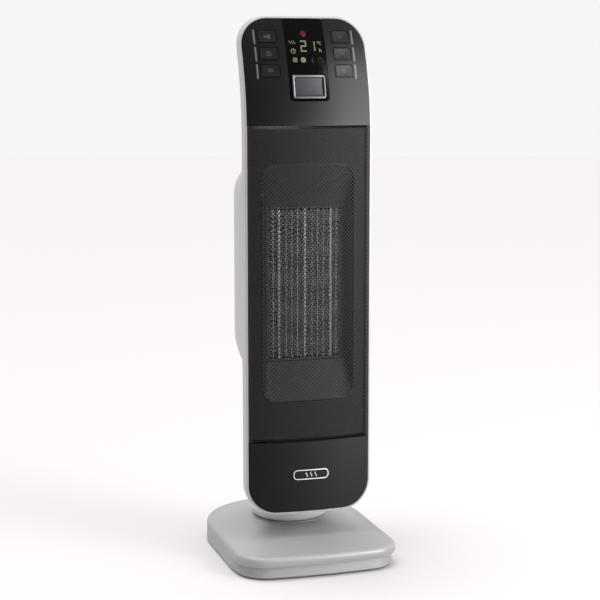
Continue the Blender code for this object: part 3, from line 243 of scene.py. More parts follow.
def lit(name, colour, strength):
    """A light-emitting sign behind dark acrylic: an even glow with a little grain."""
    material, tree, shader, place = start_material(name)
    shader.inputs["Roughness"].default_value = 0.4
    shader.inputs["Specular IOR Level"].default_value = 0.1
    shader.inputs["Emission Strength"].default_value = strength
    grain = add_node(
        tree,
        "ShaderNodeTexNoise",
        {"Scale": 1 / (1.2 * MM), "Detail": 1.0},
        {"Vector": (place, "Object")},
    )
    mix = add_node(tree, "ShaderNodeMix", links={"Factor": (grain, "Fac")}, data_type="RGBA")
    mix.inputs[6].default_value = (*(0.75 * c for c in colour), 1)
    mix.inputs[7].default_value = (*(min(1, 1.15 * c) for c in colour), 1)
    shader.inputs["Base Color"].default_value = (*(0.06 * c for c in colour), 1)
    tree.links.new(mix.outputs[2], shader.inputs["Emission Color"])
    return material


def make_materials(colours):
    """Every finish on the heater, by the name of the real material."""
    made = {}
    # Injection-moulded ABS with a fine spark-eroded texture: soft, even highlights.
    made["white_abs"] = moulded("white_abs_satin", colours.shell, 0.34, 0.5 * MM, 0.02 * MM, 0.015)
    # The neck's collar: the same plastic in a lighter colour, painted light against the shade under the tower.
    made["abs_painted_lighter"] = moulded("abs_satin_painted_lighter", hex_colour("#D0D0D1"), 0.34, 0.5 * MM, 0.02 * MM, 0.01)
    # Base, tray and thrust ring: the shell's plastic in a darker colour, as painted shade.
    made["abs_painted_darker"] = moulded("abs_satin_painted_darker", colours.base, 0.45, 0.5 * MM, 0.02 * MM, 0.015)
    # Charcoal lacquer sprayed over ABS: nearly smooth, broad grey reflections.
    made["lacquer"] = moulded(
        "charcoal_lacquer", colours.panel, 0.36, 0.7 * MM, 0.004 * MM, 0.05, Specular_IOR_Level=0.14
    )
    # Stoved enamel on the perforated sheet: dry, slightly pebbled.
    made["enamel"] = moulded(
        "grille_enamel", colours.grille, 0.5, 0.6 * MM, 0.01 * MM, 0.06, Specular_IOR_Level=0.085
    )
    made["key_abs"] = moulded(
        "key_abs_fine", colours.key, 0.36, 0.6 * MM, 0.01 * MM, 0.05, Specular_IOR_Level=0.17
    )
    # Black acrylic window: mirror-smooth with a clear coat.
    made["acrylic"] = moulded(
        "black_acrylic", colours.lens, 0.12, 8 * MM, 0.001 * MM, 0.1, IOR=1.49, Specular_IOR_Level=0.07
    )
    # Frosted polycarbonate light bars, unlit.
    made["frosted"] = moulded("frosted_polycarbonate", colours.guide, 0.5, 0.5 * MM, 0.01 * MM, 0.08)
    # Vacuum-metallised plastic frame: dark satin chrome.
    made["metallised"] = metal("metallised_graphite", colours.frame, 0.3, 0.6 * MM, (1, 1, 1), 0.002 * MM)
    # The same coating over dark plastic, on the key's hollow face.
    made["key_face"] = metal(
        "metallised_dark", hex_colour("#323335"), 0.36, 0.6 * MM, (1, 1, 1), 0.002 * MM
    )
    # Grey pad-printed ink.
    made["ink"] = moulded("grey_printing_ink", hex_colour("#3E4041"), 0.6, 0.4 * MM, 0.002 * MM, 0.1)
    made["digits"] = lit("lit_digits", colours.digits, 0.5)
    made["standby"] = lit("lit_standby", colours.standby, 0.42)
    made["alarm"] = lit("lit_warning", colours.alarm, 0.5)
    # Rolled aluminium: glossy bars with bright edges, duller fins; both colours are the element's colour darkened
    # as painted shade for the shadow behind the grille.
    bar_painted_shade_colour = tuple(BAR_PAINTED_SHADE * c for c in colours.element)
    fin_painted_shade_colour = tuple(FIN_PAINTED_SHADE * c for c in colours.element)
    made["bar"] = metal(
        "extruded_aluminium", bar_painted_shade_colour, 0.38, 0.4 * MM, (1, 1, 0.05), 0.01 * MM
    )
    made["fins"] = metal(
        "rolled_aluminium_fin", fin_painted_shade_colour, 0.5, 0.5 * MM, (0.1, 1, 1), 0.01 * MM
    )
    made["badge"] = metal(
        "brushed_aluminium", hex_colour("#B9BABC"), 0.34, 0.25 * MM, (0.04, 1, 1), 0.006 * MM
    )
    # Glass-filled polyester: dull, faintly fibrous, holds heat.
    made["duct"] = moulded("glass_filled_polyester", colours.duct, 0.6, 1.2 * MM, 0.03 * MM, 0.12)
    # Black card of the outlet baffle: a dark sheet between the duct and the grille's sides, there as painted shade
    # where the pale inner walls lie in shadow.
    made["baffle"] = moulded("black_card_painted_shade", hex_colour("#151515"), 0.75, 0.6 * MM, 0.02 * MM, 0.1)
    made["rubber"] = moulded("moulded_rubber", hex_colour("#232324"), 0.78, 0.8 * MM, 0.03 * MM, 0.1)
    made["nylon"] = moulded("natural_nylon", hex_colour("#D9D4C6"), 0.48, 1 * MM, 0.01 * MM, 0.04)
    made["steel"] = metal(
        "zinc_plated_steel", hex_colour("#A9ABAF"), 0.34, 0.5 * MM, (1, 1, 0.3), 0.006 * MM
    )
    # Stacked laminations show as level lines round the motor core.
    made["laminations"] = metal(
        "steel_laminations", hex_colour("#7C7D80"), 0.45, 0.8 * MM, (0.02, 0.02, 1), 0.05 * MM
    )
    made["copper"] = metal(
        "enamelled_copper", hex_colour("#B4703C"), 0.36, 0.5 * MM, (0.05, 1, 1), 0.12 * MM
    )
    made["board"] = moulded("soldermask_green", hex_colour("#15301F"), 0.35, 1.5 * MM, 0.03 * MM, 0.15)
    made["polyester"] = moulded("woven_polyester", hex_colour("#3A3B3E"), 0.8, 0.4 * MM, 0.04 * MM, 0.1)
    made["black_abs"] = moulded("black_abs_satin", hex_colour("#1D1D1E"), 0.45, 0.5 * MM, 0.02 * MM, 0.05)
    made["studio"] = moulded("studio_paper", colours.floor, 0.85, 2 * MM, 0.005 * MM, 0.004)
    return made


MATERIALS = {}


def finish_of(name):
    """The named finish; all of them are made the first time one is asked for."""
    if not MATERIALS:
        MATERIALS.update(make_materials(bpy.context.scene.heater_colours))
    return MATERIALS[name]


# ---------------------------------------------------------------- mesh helpers
def prism(outline, near, far, axis="Y"):
    """An outline of 2D points drawn out from near to far along an axis, as a closed bmesh."""
    place = {
        "X": lambda u, v, w: (w, u, v),
        "Y": lambda u, v, w: (u, w, v),
        "Z": lambda u, v, w: (u, v, w),
    }[axis]
    return loft([[place(u, v, w) for u, v in outline] for w in (near, far)])


def loft(sections):
    """Closed loops of equal length joined in order, with flat caps."""
    shape = bmesh.new()
    rings = [[shape.verts.new(point) for point in section] for section in sections]
    count = len(rings[0])
    for lower, upper in zip(rings, rings[1:]):
        for i in range(count):
            j = (i + 1) % count
            shape.faces.new((lower[i], lower[j], upper[j], upper[i]))
    shape.faces.new(rings[0][::-1])
    shape.faces.new(rings[-1])
    bmesh.ops.recalc_face_normals(shape, faces=shape.faces)
    return shape


def turned(profile, centre, steps=96):
    """A closed (radius, height) profile turned about a vertical axis."""
    shape = bmesh.new()
    rings = []
    for i in range(steps):
        c, s = math.cos(2 * math.pi * i / steps), math.sin(2 * math.pi * i / steps)
        rings.append([shape.verts.new((centre[0] + r * c, centre[1] + r * s, z)) for r, z in profile])
    for i in range(steps):
        ring, following = rings[i], rings[(i + 1) % steps]
        for k in range(len(profile)):
            m = (k + 1) % len(profile)
            shape.faces.new((ring[k], following[k], following[m], ring[m]))
    bmesh.ops.recalc_face_normals(shape, faces=shape.faces)
    return shape


def rounded_rectangle(left, right, bottom, top, radius, steps=8):
    points = []
    corners = (
        (right - radius, bottom + radius, -90),
        (right - radius, top - radius, 0),
        (left + radius, top - radius, 90),
        (left + radius, bottom + radius, 180),
    )
    for x, y, first in corners:
        for i in range(steps + 1):
            angle = math.radians(first + 90 * i / steps)
            points.append((x + radius * math.cos(angle), y + radius * math.sin(angle)))
    return points


def circle(radius, centre=(0, 0), steps=24):
    return [
        (
            centre[0] + radius * math.cos(2 * math.pi * i / steps),
            centre[1] + radius * math.sin(2 * math.pi * i / steps),
        )
        for i in range(steps)
    ]


def as_object(name, shape):
    mesh = bpy.data.meshes.new(name)
    shape.to_mesh(mesh)
    shape.free()
    made = bpy.data.objects.new(name, mesh)
    bpy.context.scene.collection.objects.link(made)
    return made


def from_object(obj, remove=True):
    """The object as its modifiers leave it, as a bmesh."""
    graph = bpy.context.evaluated_depsgraph_get()
    mesh = bpy.data.meshes.new_from_object(obj.evaluated_get(graph))
    shape = bmesh.new()
    shape.from_mesh(mesh)
    bpy.data.meshes.remove(mesh)
    if remove:
        bpy.data.objects.remove(obj)
    return shape


def combined(first, second, operation="DIFFERENCE"):
    """Two closed bmeshes cut, joined or intersected."""
    target, tool = as_object("target", first), as_object("tool", second)
    modifier = target.modifiers.new("combine", "BOOLEAN")
    modifier.operation = operation
    modifier.solver = "EXACT"
    modifier.object = tool
    result = from_object(target)
    bpy.data.objects.remove(tool)
    return result


def gathered(shapes):
    """Several bmeshes in one."""
    whole = bmesh.new()
    for shape in shapes:
        mesh = bpy.data.meshes.new("part")
        shape.to_mesh(mesh)
        shape.free()
        whole.from_mesh(mesh)
        bpy.data.meshes.remove(mesh)
    return whole


def round_edges(shape, chosen, radius, segments=3):
    """Rounds the sharp edges for which chosen(edge) is true."""
    edges = [e for e in shape.edges if len(e.link_faces) == 2 and e.calc_face_angle(0) > 0.6 and chosen(e)]
    bmesh.ops.bevel(shape, geom=edges, offset=radius, segments=segments, affect="EDGES", clamp_overlap=True)
    return shape


def sliced(shape, xs=(), zs=()):
    """Splits the faces at the given x and z, so that they can follow a curve."""
    for values, axis in ((xs, Vector((1, 0, 0))), (zs, Vector((0, 0, 1)))):
        for value in values:
            geometry = [*shape.verts, *shape.edges, *shape.faces]
            bmesh.ops.bisect_plane(shape, geom=geometry, dist=1e-7, plane_co=axis * value, plane_no=axis)
    return shape


def steps_between(low, high, step):
    count = max(1, round((high - low) / step))
    return [low + (high - low) * i / count for i in range(1, count)]


def piece(name, shape, finish, body, replaces=(), sharp=32, weighted=False, extra=()):
    """A finished piece: a named mesh with its finish that rides on a body."""
    made = as_object(name, shape)
    for surface in (finish, *extra):
        made.data.materials.append(finish_of(surface))
    made.data.shade_smooth()
    made.data.set_sharp_from_angle(angle=math.radians(sharp))
    if weighted:
        smoothing = made.modifiers.new("even_shading", "WEIGHTED_NORMAL")
        smoothing.keep_sharp = True
    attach(made, body)
    if replaces:
        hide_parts(*replaces)
    return made


# ---------------------------------------------------------------- geometry nodes
def repeat_tree():
    """Copies of one small piece on a lattice, welded together and given a finish."""
    tree = bpy.data.node_groups.get("repeat_on_lattice")
    if tree:
        return tree
    tree = bpy.data.node_groups.new("repeat_on_lattice", "GeometryNodeTree")
    tree.is_modifier = True
    new = tree.interface.new_socket
    new("Geometry", in_out="INPUT", socket_type="NodeSocketGeometry")
    for name, kind in (
        ("Piece", "NodeSocketObject"),
        ("Columns", "NodeSocketInt"),
        ("Rows", "NodeSocketInt"),
        ("Column Pitch", "NodeSocketFloat"),
        ("Row Pitch", "NodeSocketFloat"),
        ("Staggered", "NodeSocketBool"),
        ("Weld Distance", "NodeSocketFloat"),
        ("Finish", "NodeSocketMaterial"),
    ):
        new(name, in_out="INPUT", socket_type=kind)
    new("Geometry", in_out="OUTPUT", socket_type="NodeSocketGeometry")
    inputs = add_node(tree, "NodeGroupInput")

    def lattice(fewer):
        sizes = []
        for count, pitch in (("Columns", "Column Pitch"), ("Rows", "Row Pitch")):
            gaps = add_node(tree, "ShaderNodeMath", {1: 1.0 + fewer}, {0: (inputs, count)}, operation="SUBTRACT")
            span = add_node(
                tree, "ShaderNodeMath", links={0: (gaps, "Value"), 1: (inputs, pitch)}, operation="MULTIPLY"
            )
            number = add_node(
                tree, "ShaderNodeMath", {1: float(fewer)}, {0: (inputs, count)}, operation="SUBTRACT"
            )
            sizes.append((span, number))
        (width, columns), (height, rows) = sizes
        return add_node(
            tree,
            "GeometryNodeMeshGrid",
            links={
                "Size X": (width, "Value"),
                "Size Y": (height, "Value"),
                "Vertices X": (columns, "Value"),
                "Vertices Y": (rows, "Value"),
            },
        )

    even, odd = lattice(0), lattice(1)
    both = add_node(tree, "GeometryNodeJoinGeometry")
    tree.links.new(even.outputs["Mesh"], both.inputs["Geometry"])
    tree.links.new(odd.outputs["Mesh"], both.inputs["Geometry"])
    places = add_node(
        tree,
        "GeometryNodeSwitch",
        links={"Switch": (inputs, "Staggered"), "False": (even, "Mesh"), "True": (both, "Geometry")},
        input_type="GEOMETRY",
    )
    upright = add_node(
        tree,
        "GeometryNodeTransform",
        {"Rotation": (math.pi / 2, 0, 0)},
        {"Geometry": (places, "Output")},
    )
    item = add_node(
        tree, "GeometryNodeObjectInfo", links={"Object": (inputs, "Piece")}, transform_space="ORIGINAL"
    )
    copies = add_node(
        tree,
        "GeometryNodeInstanceOnPoints",
        links={"Points": (upright, "Geometry"), "Instance": (item, "Geometry")},
    )
    real = add_node(tree, "GeometryNodeRealizeInstances", links={"Geometry": (copies, "Instances")})
    weld = add_node(
        tree,
        "GeometryNodeMergeByDistance",
        links={"Geometry": (real, "Geometry"), "Distance": (inputs, "Weld Distance")},
    )
    surface = add_node(
        tree, "GeometryNodeSetMaterial", links={"Geometry": (weld, "Geometry"), "Material": (inputs, "Finish")}
    )
    add_node(tree, "NodeGroupOutput", links={"Geometry": (surface, "Geometry")})
    return tree


def repeated(unit, columns, rows, column_pitch, row_pitch, finish, staggered=False, weld=0.0):
    """Copies of the unit bmesh on a lattice round the origin, upright in the XZ plane, as a bmesh."""
    tree = repeat_tree()
    item, holder = as_object("unit", unit), as_object("holder", bmesh.new())
    modifier = holder.modifiers.new("repeat", "NODES")
    modifier.node_group = tree
    values = {
        "Piece": item,
        "Columns": columns,
        "Rows": rows,
        "Column Pitch": column_pitch,
        "Row Pitch": row_pitch,
        "Staggered": staggered,
        "Weld Distance": weld,
        "Finish": finish_of(finish),
    }
    for socket in tree.interface.items_tree:
        if socket.in_out == "INPUT" and socket.name in values:
            modifier[socket.identifier] = values[socket.name]
    result = from_object(holder)
    bpy.data.objects.remove(item)
    return result


def moved(shape, x=0.0, y=0.0, z=0.0):
    bmesh.ops.translate(shape, verts=shape.verts, vec=(x, y, z))
    return shape


# ---------------------------------------------------------------- the front's shape
def tower_edges():
    """(half width, bottom, top, front y) of the tower."""
    low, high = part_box("front_frame")
    return high.x, low.z, high.z, low.y


def front_y(x, z):
    """The front surface behind a point seen from the front."""
    sizes = bpy.context.scene.heater_sizes
    half, _, top, front = tower_edges_cached()
    rate = sizes.setback / (top - sizes.bend_height) ** 2
    return front + sizes.crown * (x / half) ** 2 + rate * max(0.0, z - sizes.bend_height) ** 2


EDGES = []


def tower_edges_cached():
    if not EDGES:
        EDGES.append(tower_edges())
    return EDGES[0]


def tower_outline(inset):
    sizes = bpy.context.scene.heater_sizes
    half, bottom, top, _ = tower_edges_cached()
    radius = sizes.corner - inset
    return rounded_rectangle(-half + inset, half - inset, bottom + inset, top - inset, radius, 16)


def bent(shape, column=3.0 * MM, row=4.0 * MM):
    """Takes a shape made flat, with y as its depth behind the front, onto the front's curve."""
    sizes = bpy.context.scene.heater_sizes
    xs = [v.co.x for v in shape.verts]
    zs = [v.co.z for v in shape.verts]
    low = max(min(zs), sizes.bend_height)
    rows = steps_between(low, max(zs), row) if max(zs) > low + row else ()
    sliced(shape, steps_between(min(xs), max(xs), column), rows)
    for vert in shape.verts:
        vert.co.y += front_y(vert.co.x, vert.co.z)
    return shape


def cover_shape(low, high, near, far, holes=(), trims=(), radius=None):
    """A cover that fills the rim from low to high, with holes, before it is bent."""
    sizes = bpy.context.scene.heater_sizes
    shape = prism(tower_outline(sizes.rim + SEAM), near, far)
    half = tower_edges_cached()[0]
    band = rounded_rectangle(-half - CUT, half + CUT, low, high, 0.01 * MM, 1)
    shape = combined(shape, prism(band, near - CUT, far + CUT), "INTERSECT")
    for outline in trims:
        shape = combined(shape, prism(outline, near - CUT, far + CUT), "INTERSECT")
    for outline in holes:
        shape = combined(shape, prism(outline, near - CUT, far + CUT))
    bmesh.ops.remove_doubles(shape, verts=shape.verts, dist=0.01 * MM)
    at_front = lambda e: all(abs(v.co.y - near) < 1e-6 for v in e.verts)
    return round_edges(shape, at_front, sizes.edge if radius is None else radius)


# ---------------------------------------------------------------- base and neck
def base_outline(inset, arc=64, corner_steps=12, front_steps=14):
    """Plan of the base: bowed front, straight sides, round corners and half-circle back."""
    sizes = bpy.context.scene.heater_sizes
    low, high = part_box("base_cover")
    half, front = high.x - inset, low.y + inset
    centre = high.y - high.x
    corner = max(sizes.base_corner - inset, 4 * MM)
    points = []
    for i in range(arc + 1):
        angle = math.pi * i / arc
        points.append((half * math.cos(angle), centre + half * math.sin(angle)))
    for side, first in ((-1, 180), (1, 270)):
        for i in range(1, 8):
            share = i / 8 if side < 0 else 0
            if share:
                points.append((-half, centre + (front + corner - centre) * share))
        for i in range(corner_steps + 1):
            angle = math.radians(first + 90 * i / corner_steps)
            x = side * (half - corner) + corner * math.cos(angle)
            points.append((x, front + corner + corner * math.sin(angle)))
        if side < 0:
            inner = half - corner
            points += [(-inner + 2 * inner * i / front_steps, front) for i in range(1, front_steps)]
    points += [(half, front + corner + (centre - front - corner) * i / 8) for i in range(1, 8)]
    bow = sizes.base_bow
    return [(x, y + bow * (x / half) ** 2 * max(0, y / front)) for x, y in points]


def stepped(outline, depth):
    """A base outline drawn in along its front and round both front corners."""
    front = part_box("base_cover")[0].y
    points = []
    for x, y in outline:
        share = min(1.0, max(0.0, (front + 62 * MM - y) / (32 * MM)))
        share = share * share * (3 - 2 * share)
        reach = math.hypot(x, y)
        points.append((x * (1 - depth * share / reach), y * (1 - depth * share / reach)))
    return points


def base_form(inset, drop, bottom):
    """Stepped front, upright sides, a rounded edge and a low dome that sweeps up to the neck."""
    sizes = bpy.context.scene.heater_sizes
    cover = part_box("base_cover")
    top = cover[1].z - drop
    edge, fillet = sizes.base_edge - drop, sizes.base_fillet
    pivot = (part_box("neck")[0].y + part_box("neck")[1].y) / 2
    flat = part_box("neck")[1].x + 3 * MM

    step, lip = sizes.base_step, cover[0].z + 14 * MM
    outline = base_outline(inset)
    under = step + 0.9 * MM
    sections = [
        (stepped(outline, step + 0.4 * MM), bottom),
        (stepped(outline, step - 0.4 * MM), bottom + 1.2 * MM),
    ]
    sections += [(stepped(outline, under), lip - 0.4 * MM), (stepped(outline, 0.5 * MM), lip + 0.2 * MM)]
    sections += [(outline, lip + 1 * MM), (outline, edge - fillet)]
    for i in range(1, 9):
        angle = math.radians(90 * i / 8)
        rounded = base_outline(inset + fillet * (1 - math.cos(angle)))
        sections.append((rounded, edge - fillet * (1 - math.sin(angle))))
    rim = base_outline(inset + fillet)
    for i in range(1, 17):
        share = i / 16
        ring = []
        for x, y in rim:
            bearing = math.atan2(y - pivot, x)
            goal = (flat * math.cos(bearing), pivot + flat * math.sin(bearing))
            ring.append((x + (goal[0] - x) * share, y + (goal[1] - y) * share))
        sections.append((ring, edge + (top - edge) * math.sin(share * math.pi / 2) ** 2))
    return loft([[(x, y, z) for x, y in outline] for outline, z in sections])


class HEATER_OT_base(bpy.types.Operator):
    """Makes the base cover, its recessed tray and the feet"""

    bl_idname = "heater.base"
    bl_label = "Base"

    def execute(self, context):
        low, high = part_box("base_cover")
        neck_low, neck_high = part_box("neck")
        wall = 2.5 * MM
        pivot = (0, (neck_low.y + neck_high.y) / 2)
        cover = combined(base_form(0, 0, low.z), base_form(wall, wall, -CUT))
        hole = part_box("pivot_retainer")[1].x - 2 * MM
        cover = combined(cover, prism(circle(hole, pivot, 64), 0, high.z + CUT, "Z"))
        piece("base_cover_moulding", cover, "abs_painted_darker", "base", ["base_cover"])

        tray_low, tray_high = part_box("base_tray")
        inset = 5.4 * MM
        sections = []
        for share, lift in ((1.0, 0.0), (0.5, 0.25), (0.15, 0.6), (0.0, 1.0)):
            outline = stepped(base_outline(inset + 1.2 * MM * share), 3.4 * MM)
            sections.append((outline, tray_low.z + 1.2 * MM * lift))
        sections.append((stepped(base_outline(inset), 3.4 * MM), tray_high.z))
        tray = loft([[(x, y, z) for x, y in outline] for outline, z in sections])
        inner = stepped(base_outline(inset + 2 * MM), 3.4 * MM)
        hollow = prism(inner, tray_low.z + 2 * MM, tray_high.z + CUT, "Z")
        tray = combined(tray, hollow)
        piece("base_tray_moulding", tray, "abs_painted_darker", "base", ["base_tray"])

        for name in ("foot_front_left", "foot_front_right", "foot_rear_left", "foot_rear_right"):
            a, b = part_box(name)
            centre, radius = ((a.x + b.x) / 2, (a.y + b.y) / 2), b.x - (a.x + b.x) / 2
            bottom, top = a.z, b.z
            profile = [
                (0.3 * MM, top),
                (0.3 * MM, bottom + 0.5 * MM),
                (0.45 * radius, bottom + 0.5 * MM),
                (0.5 * radius, bottom),
                (0.86 * radius, bottom),
                (0.96 * radius, bottom + 0.3 * MM),
                (radius, bottom + 0.8 * MM),
                (radius, top),
            ]
            piece(f"{name}_pad", turned(profile, centre, 48), "rubber", "base", [name])
        return {"FINISHED"}


class HEATER_OT_neck(bpy.types.Operator):
    """Makes the turntable's collar"""

    bl_idname = "heater.neck"
    bl_label = "Neck"

    def execute(self, context):
        low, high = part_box("neck")
        centre = (0, (low.y + high.y) / 2)
        radius, hub = high.x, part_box("pivot_retainer")[1].x - 7 * MM
        bottom, wall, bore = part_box("thrust_ring")[1].z + SEAM, 2.5 * MM, 13 * MM
        bowl, rise = 9 * MM, 12 * MM
        profile = [(bore, low.z), (hub, low.z), (hub, bottom)]
        for i in range(11):
            angle = math.radians(90 * i / 10)
            profile.append((radius - bowl + bowl * math.sin(angle), bottom + rise * (1 - math.cos(angle))))
        profile.append((radius, high.z))
        for i in range(11):
            angle = math.radians(90 - 90 * i / 10)
            inner = radius - bowl + (bowl - wall) * math.sin(angle)
            profile.append((inner, bottom + wall + rise * (1 - math.cos(angle))))
        profile[-11] = (radius - wall, high.z)
        profile.append((bore, bottom + wall))
        # The collar's lighter colour is painted light against the shade under the tower.
        piece("neck_collar", turned(profile, centre, 128), "abs_painted_lighter", "tower", ["neck"])
        return {"FINISHED"}


# ---------------------------------------------------------------- tower casings
class HEATER_OT_frame(bpy.types.Operator):
    """Makes the pale front frame with its thin rim"""

    bl_idname = "heater.frame"
    bl_label = "Front Frame"

    def execute(self, context):
        sizes = context.scene.heater_sizes
        depth = sizes.frame_depth
        shape = prism(tower_outline(0), 0, depth)
        shape = combined(shape, prism(tower_outline(sizes.rim), -CUT, 3 * MM))
        shape = combined(shape, prism(tower_outline(2 * sizes.rim), -CUT, depth + CUT))
        half, bottom, top, _ = tower_edges_cached()

        def outer_front(edge):
            return all(abs(v.co.y) < 1e-6 and not within(v.co, sizes.rim * 0.5) for v in edge.verts)

        def within(co, inset):
            return abs(co.x) < half - inset and bottom + inset < co.z < top - inset and corner_inside(co, inset)

        def corner_inside(co, inset):
            u = max(0.0, abs(co.x) - (half - sizes.corner))
            v = max(0.0, co.z - (top - sizes.corner), (bottom + sizes.corner) - co.z)
            return math.hypot(u, v) < sizes.corner - inset

        round_edges(shape, outer_front, 1.0 * MM, 3)
        inner_front = lambda e: all(abs(v.co.y) < 1e-6 for v in e.verts)
        round_edges(shape, inner_front, 0.4 * MM, 2)
        bent(shape)
        piece(
            "front_frame_moulding", shape, "white_abs", "tower", ["front_frame"], weighted=True
        )
        return {"FINISHED"}


def shell_station(z):
    """(half width, plain depth, housing half width, housing rear y) of the rear shell at height z."""
    sizes = bpy.context.scene.heater_sizes
    half, bottom, top, front = tower_edges_cached()
    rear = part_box("intake_grille")[1].y
    corner = sizes.corner
    near_end = min(z - bottom, top - z, corner)
    across = math.sqrt(max(0.0, corner**2 - (corner - near_end) ** 2))
    rounding = min(1.0, (top - z) / (2 * corner))
    above = (z - sizes.housing_bottom) / (sizes.housing_top - sizes.housing_bottom)
    plain = sizes.shell_depth - 8 * MM * min(1.0, max(0.0, above))
    depth = plain * (0.3 + 0.7 * math.sin(rounding * math.pi / 2))
    if z > sizes.housing_top:
        share = min(1.0, (z - sizes.housing_top) / (66 * MM))
        fall = 1 - math.cos(share * math.pi / 2)
        width = sizes.housing_width * (1 - 0.42 * fall)
        reach = rear - (rear - front - sizes.frame_depth - 30 * MM) * fall
    else:
        share = min(1.0, max(0.0, sizes.housing_bottom - z) / (84 * MM))
        fall = (1 - math.cos(share * math.pi)) / 2
        width = sizes.housing_width + (sizes.stem_width - sizes.housing_width) * fall
        reach = rear + (sizes.stem_rear - rear) * fall
    return half - corner + across, depth, width, reach


def shell_section(z, wall, front_depth, steps=72):
    """Outline of the rear shell at height z, drawn in by wall, closed along the front's curve."""
    sizes = bpy.context.scene.heater_sizes
    half, depth, width, rear = shell_station(z)
    full = tower_edges_cached()[0]
    half, width = half - wall, width - wall
    centre = front_y(full, z) + sizes.frame_depth + 0.5 * MM
    depth, reach = depth - wall, max(rear - centre - wall, 1 * MM)
    points = []
    for i in range(steps + 1):
        angle = math.pi * i / steps
        c, s = abs(math.cos(angle)), math.sin(angle)
        plain = 1 / math.hypot(c / half, s / depth)
        housing = 1 / ((c / width) ** 4 + (s / reach) ** 4) ** 0.25
        larger = max(plain, housing)
        radius = larger * ((plain / larger) ** 18 + (housing / larger) ** 18) ** (1 / 18)
        radius = min(radius, half / c) if c > 1e-6 else radius
        points.append((radius * math.cos(angle), centre + radius * s, z))
    front = [half * (2 * i / 24 - 1) for i in range(25)]
    points += [(x, front_y(x, z) + front_depth, z) for x in front]
    return points


def shell_form(wall, front_depth):
    sizes = bpy.context.scene.heater_sizes
    _, bottom, top, _ = tower_edges_cached()
    corner = [sizes.corner * (1 - math.cos(math.radians(a))) for a in range(0, 91, 9)]
    low, high = bottom + wall, top - wall
    middle = steps_between(bottom + sizes.corner, top - sizes.corner, 5 * MM)
    heights = [bottom + d for d in corner] + middle + [top - d for d in corner[::-1]]
    heights = [low] + [z for z in heights if low + 0.2 * MM < z < high - 0.2 * MM] + [high]
    return loft([shell_section(z, wall, front_depth) for z in heights])


def screw_places():
    """(x, z, y of the head's underside) of the screws in the rear shell."""
    places = []
    for number in range(1, 5):
        low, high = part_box(f"rear_screw_{number}")
        places.append(((low.x + high.x) / 2, (low.z + high.z) / 2, high.y - 2 * MM))
    return places


class HEATER_OT_shell(bpy.types.Operator):
    """Makes the rear shell with its blower housing, screw wells and openings"""

    bl_idname = "heater.shell"
    bl_label = "Rear Shell"

    def execute(self, context):
        sizes = context.scene.heater_sizes
        seam = 0.5 * MM
        hollow = shell_form(sizes.shell_wall, sizes.frame_depth - CUT)
        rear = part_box("intake_grille")[1].y
        bosses = [prism(circle(6.4 * MM, (x, z), 32), y - 3.3 * MM, rear) for x, z, y in screw_places()]
        hollow = combined(hollow, gathered(bosses))
        shape = combined(shell_form(0, sizes.frame_depth + seam), hollow)
        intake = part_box("intake_grille")
        opening = rounded_rectangle(
            intake[0].x - seam, intake[1].x + seam, intake[0].z - seam, intake[1].z + seam, 10 * MM, 10
        )
        shape = combined(shape, prism(opening, intake[0].y - 5 * MM, rear + CUT))
        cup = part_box("handle_cup")
        pocket = rounded_rectangle(
            cup[0].x - SEAM, cup[1].x + SEAM, cup[0].z - SEAM, cup[1].z + SEAM, 10 * MM, 10
        )
        shape = combined(shape, prism(pocket, cup[0].y, rear))
        wells = [prism(circle(4.2 * MM, (x, z), 32), y - 0.3 * MM, rear) for x, z, y in screw_places()]
        shape = combined(shape, gathered(wells))
        holes = [prism(circle(1.9 * MM, (x, z), 20), y - 10 * MM, y + 1 * MM) for x, z, y in screw_places()]
        shape = combined(shape, gathered(holes))
        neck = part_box("neck")
        centre = (0, (neck[0].y + neck[1].y) / 2)
        under = prism(circle(43 * MM, centre, 64), neck[1].z - CUT, neck[1].z + 2 * CUT, "Z")
        shape = combined(shape, under)
        piece("rear_shell_moulding", shape, "white_abs", "tower", ["rear_shell"], sharp=28)
        return {"FINISHED"}


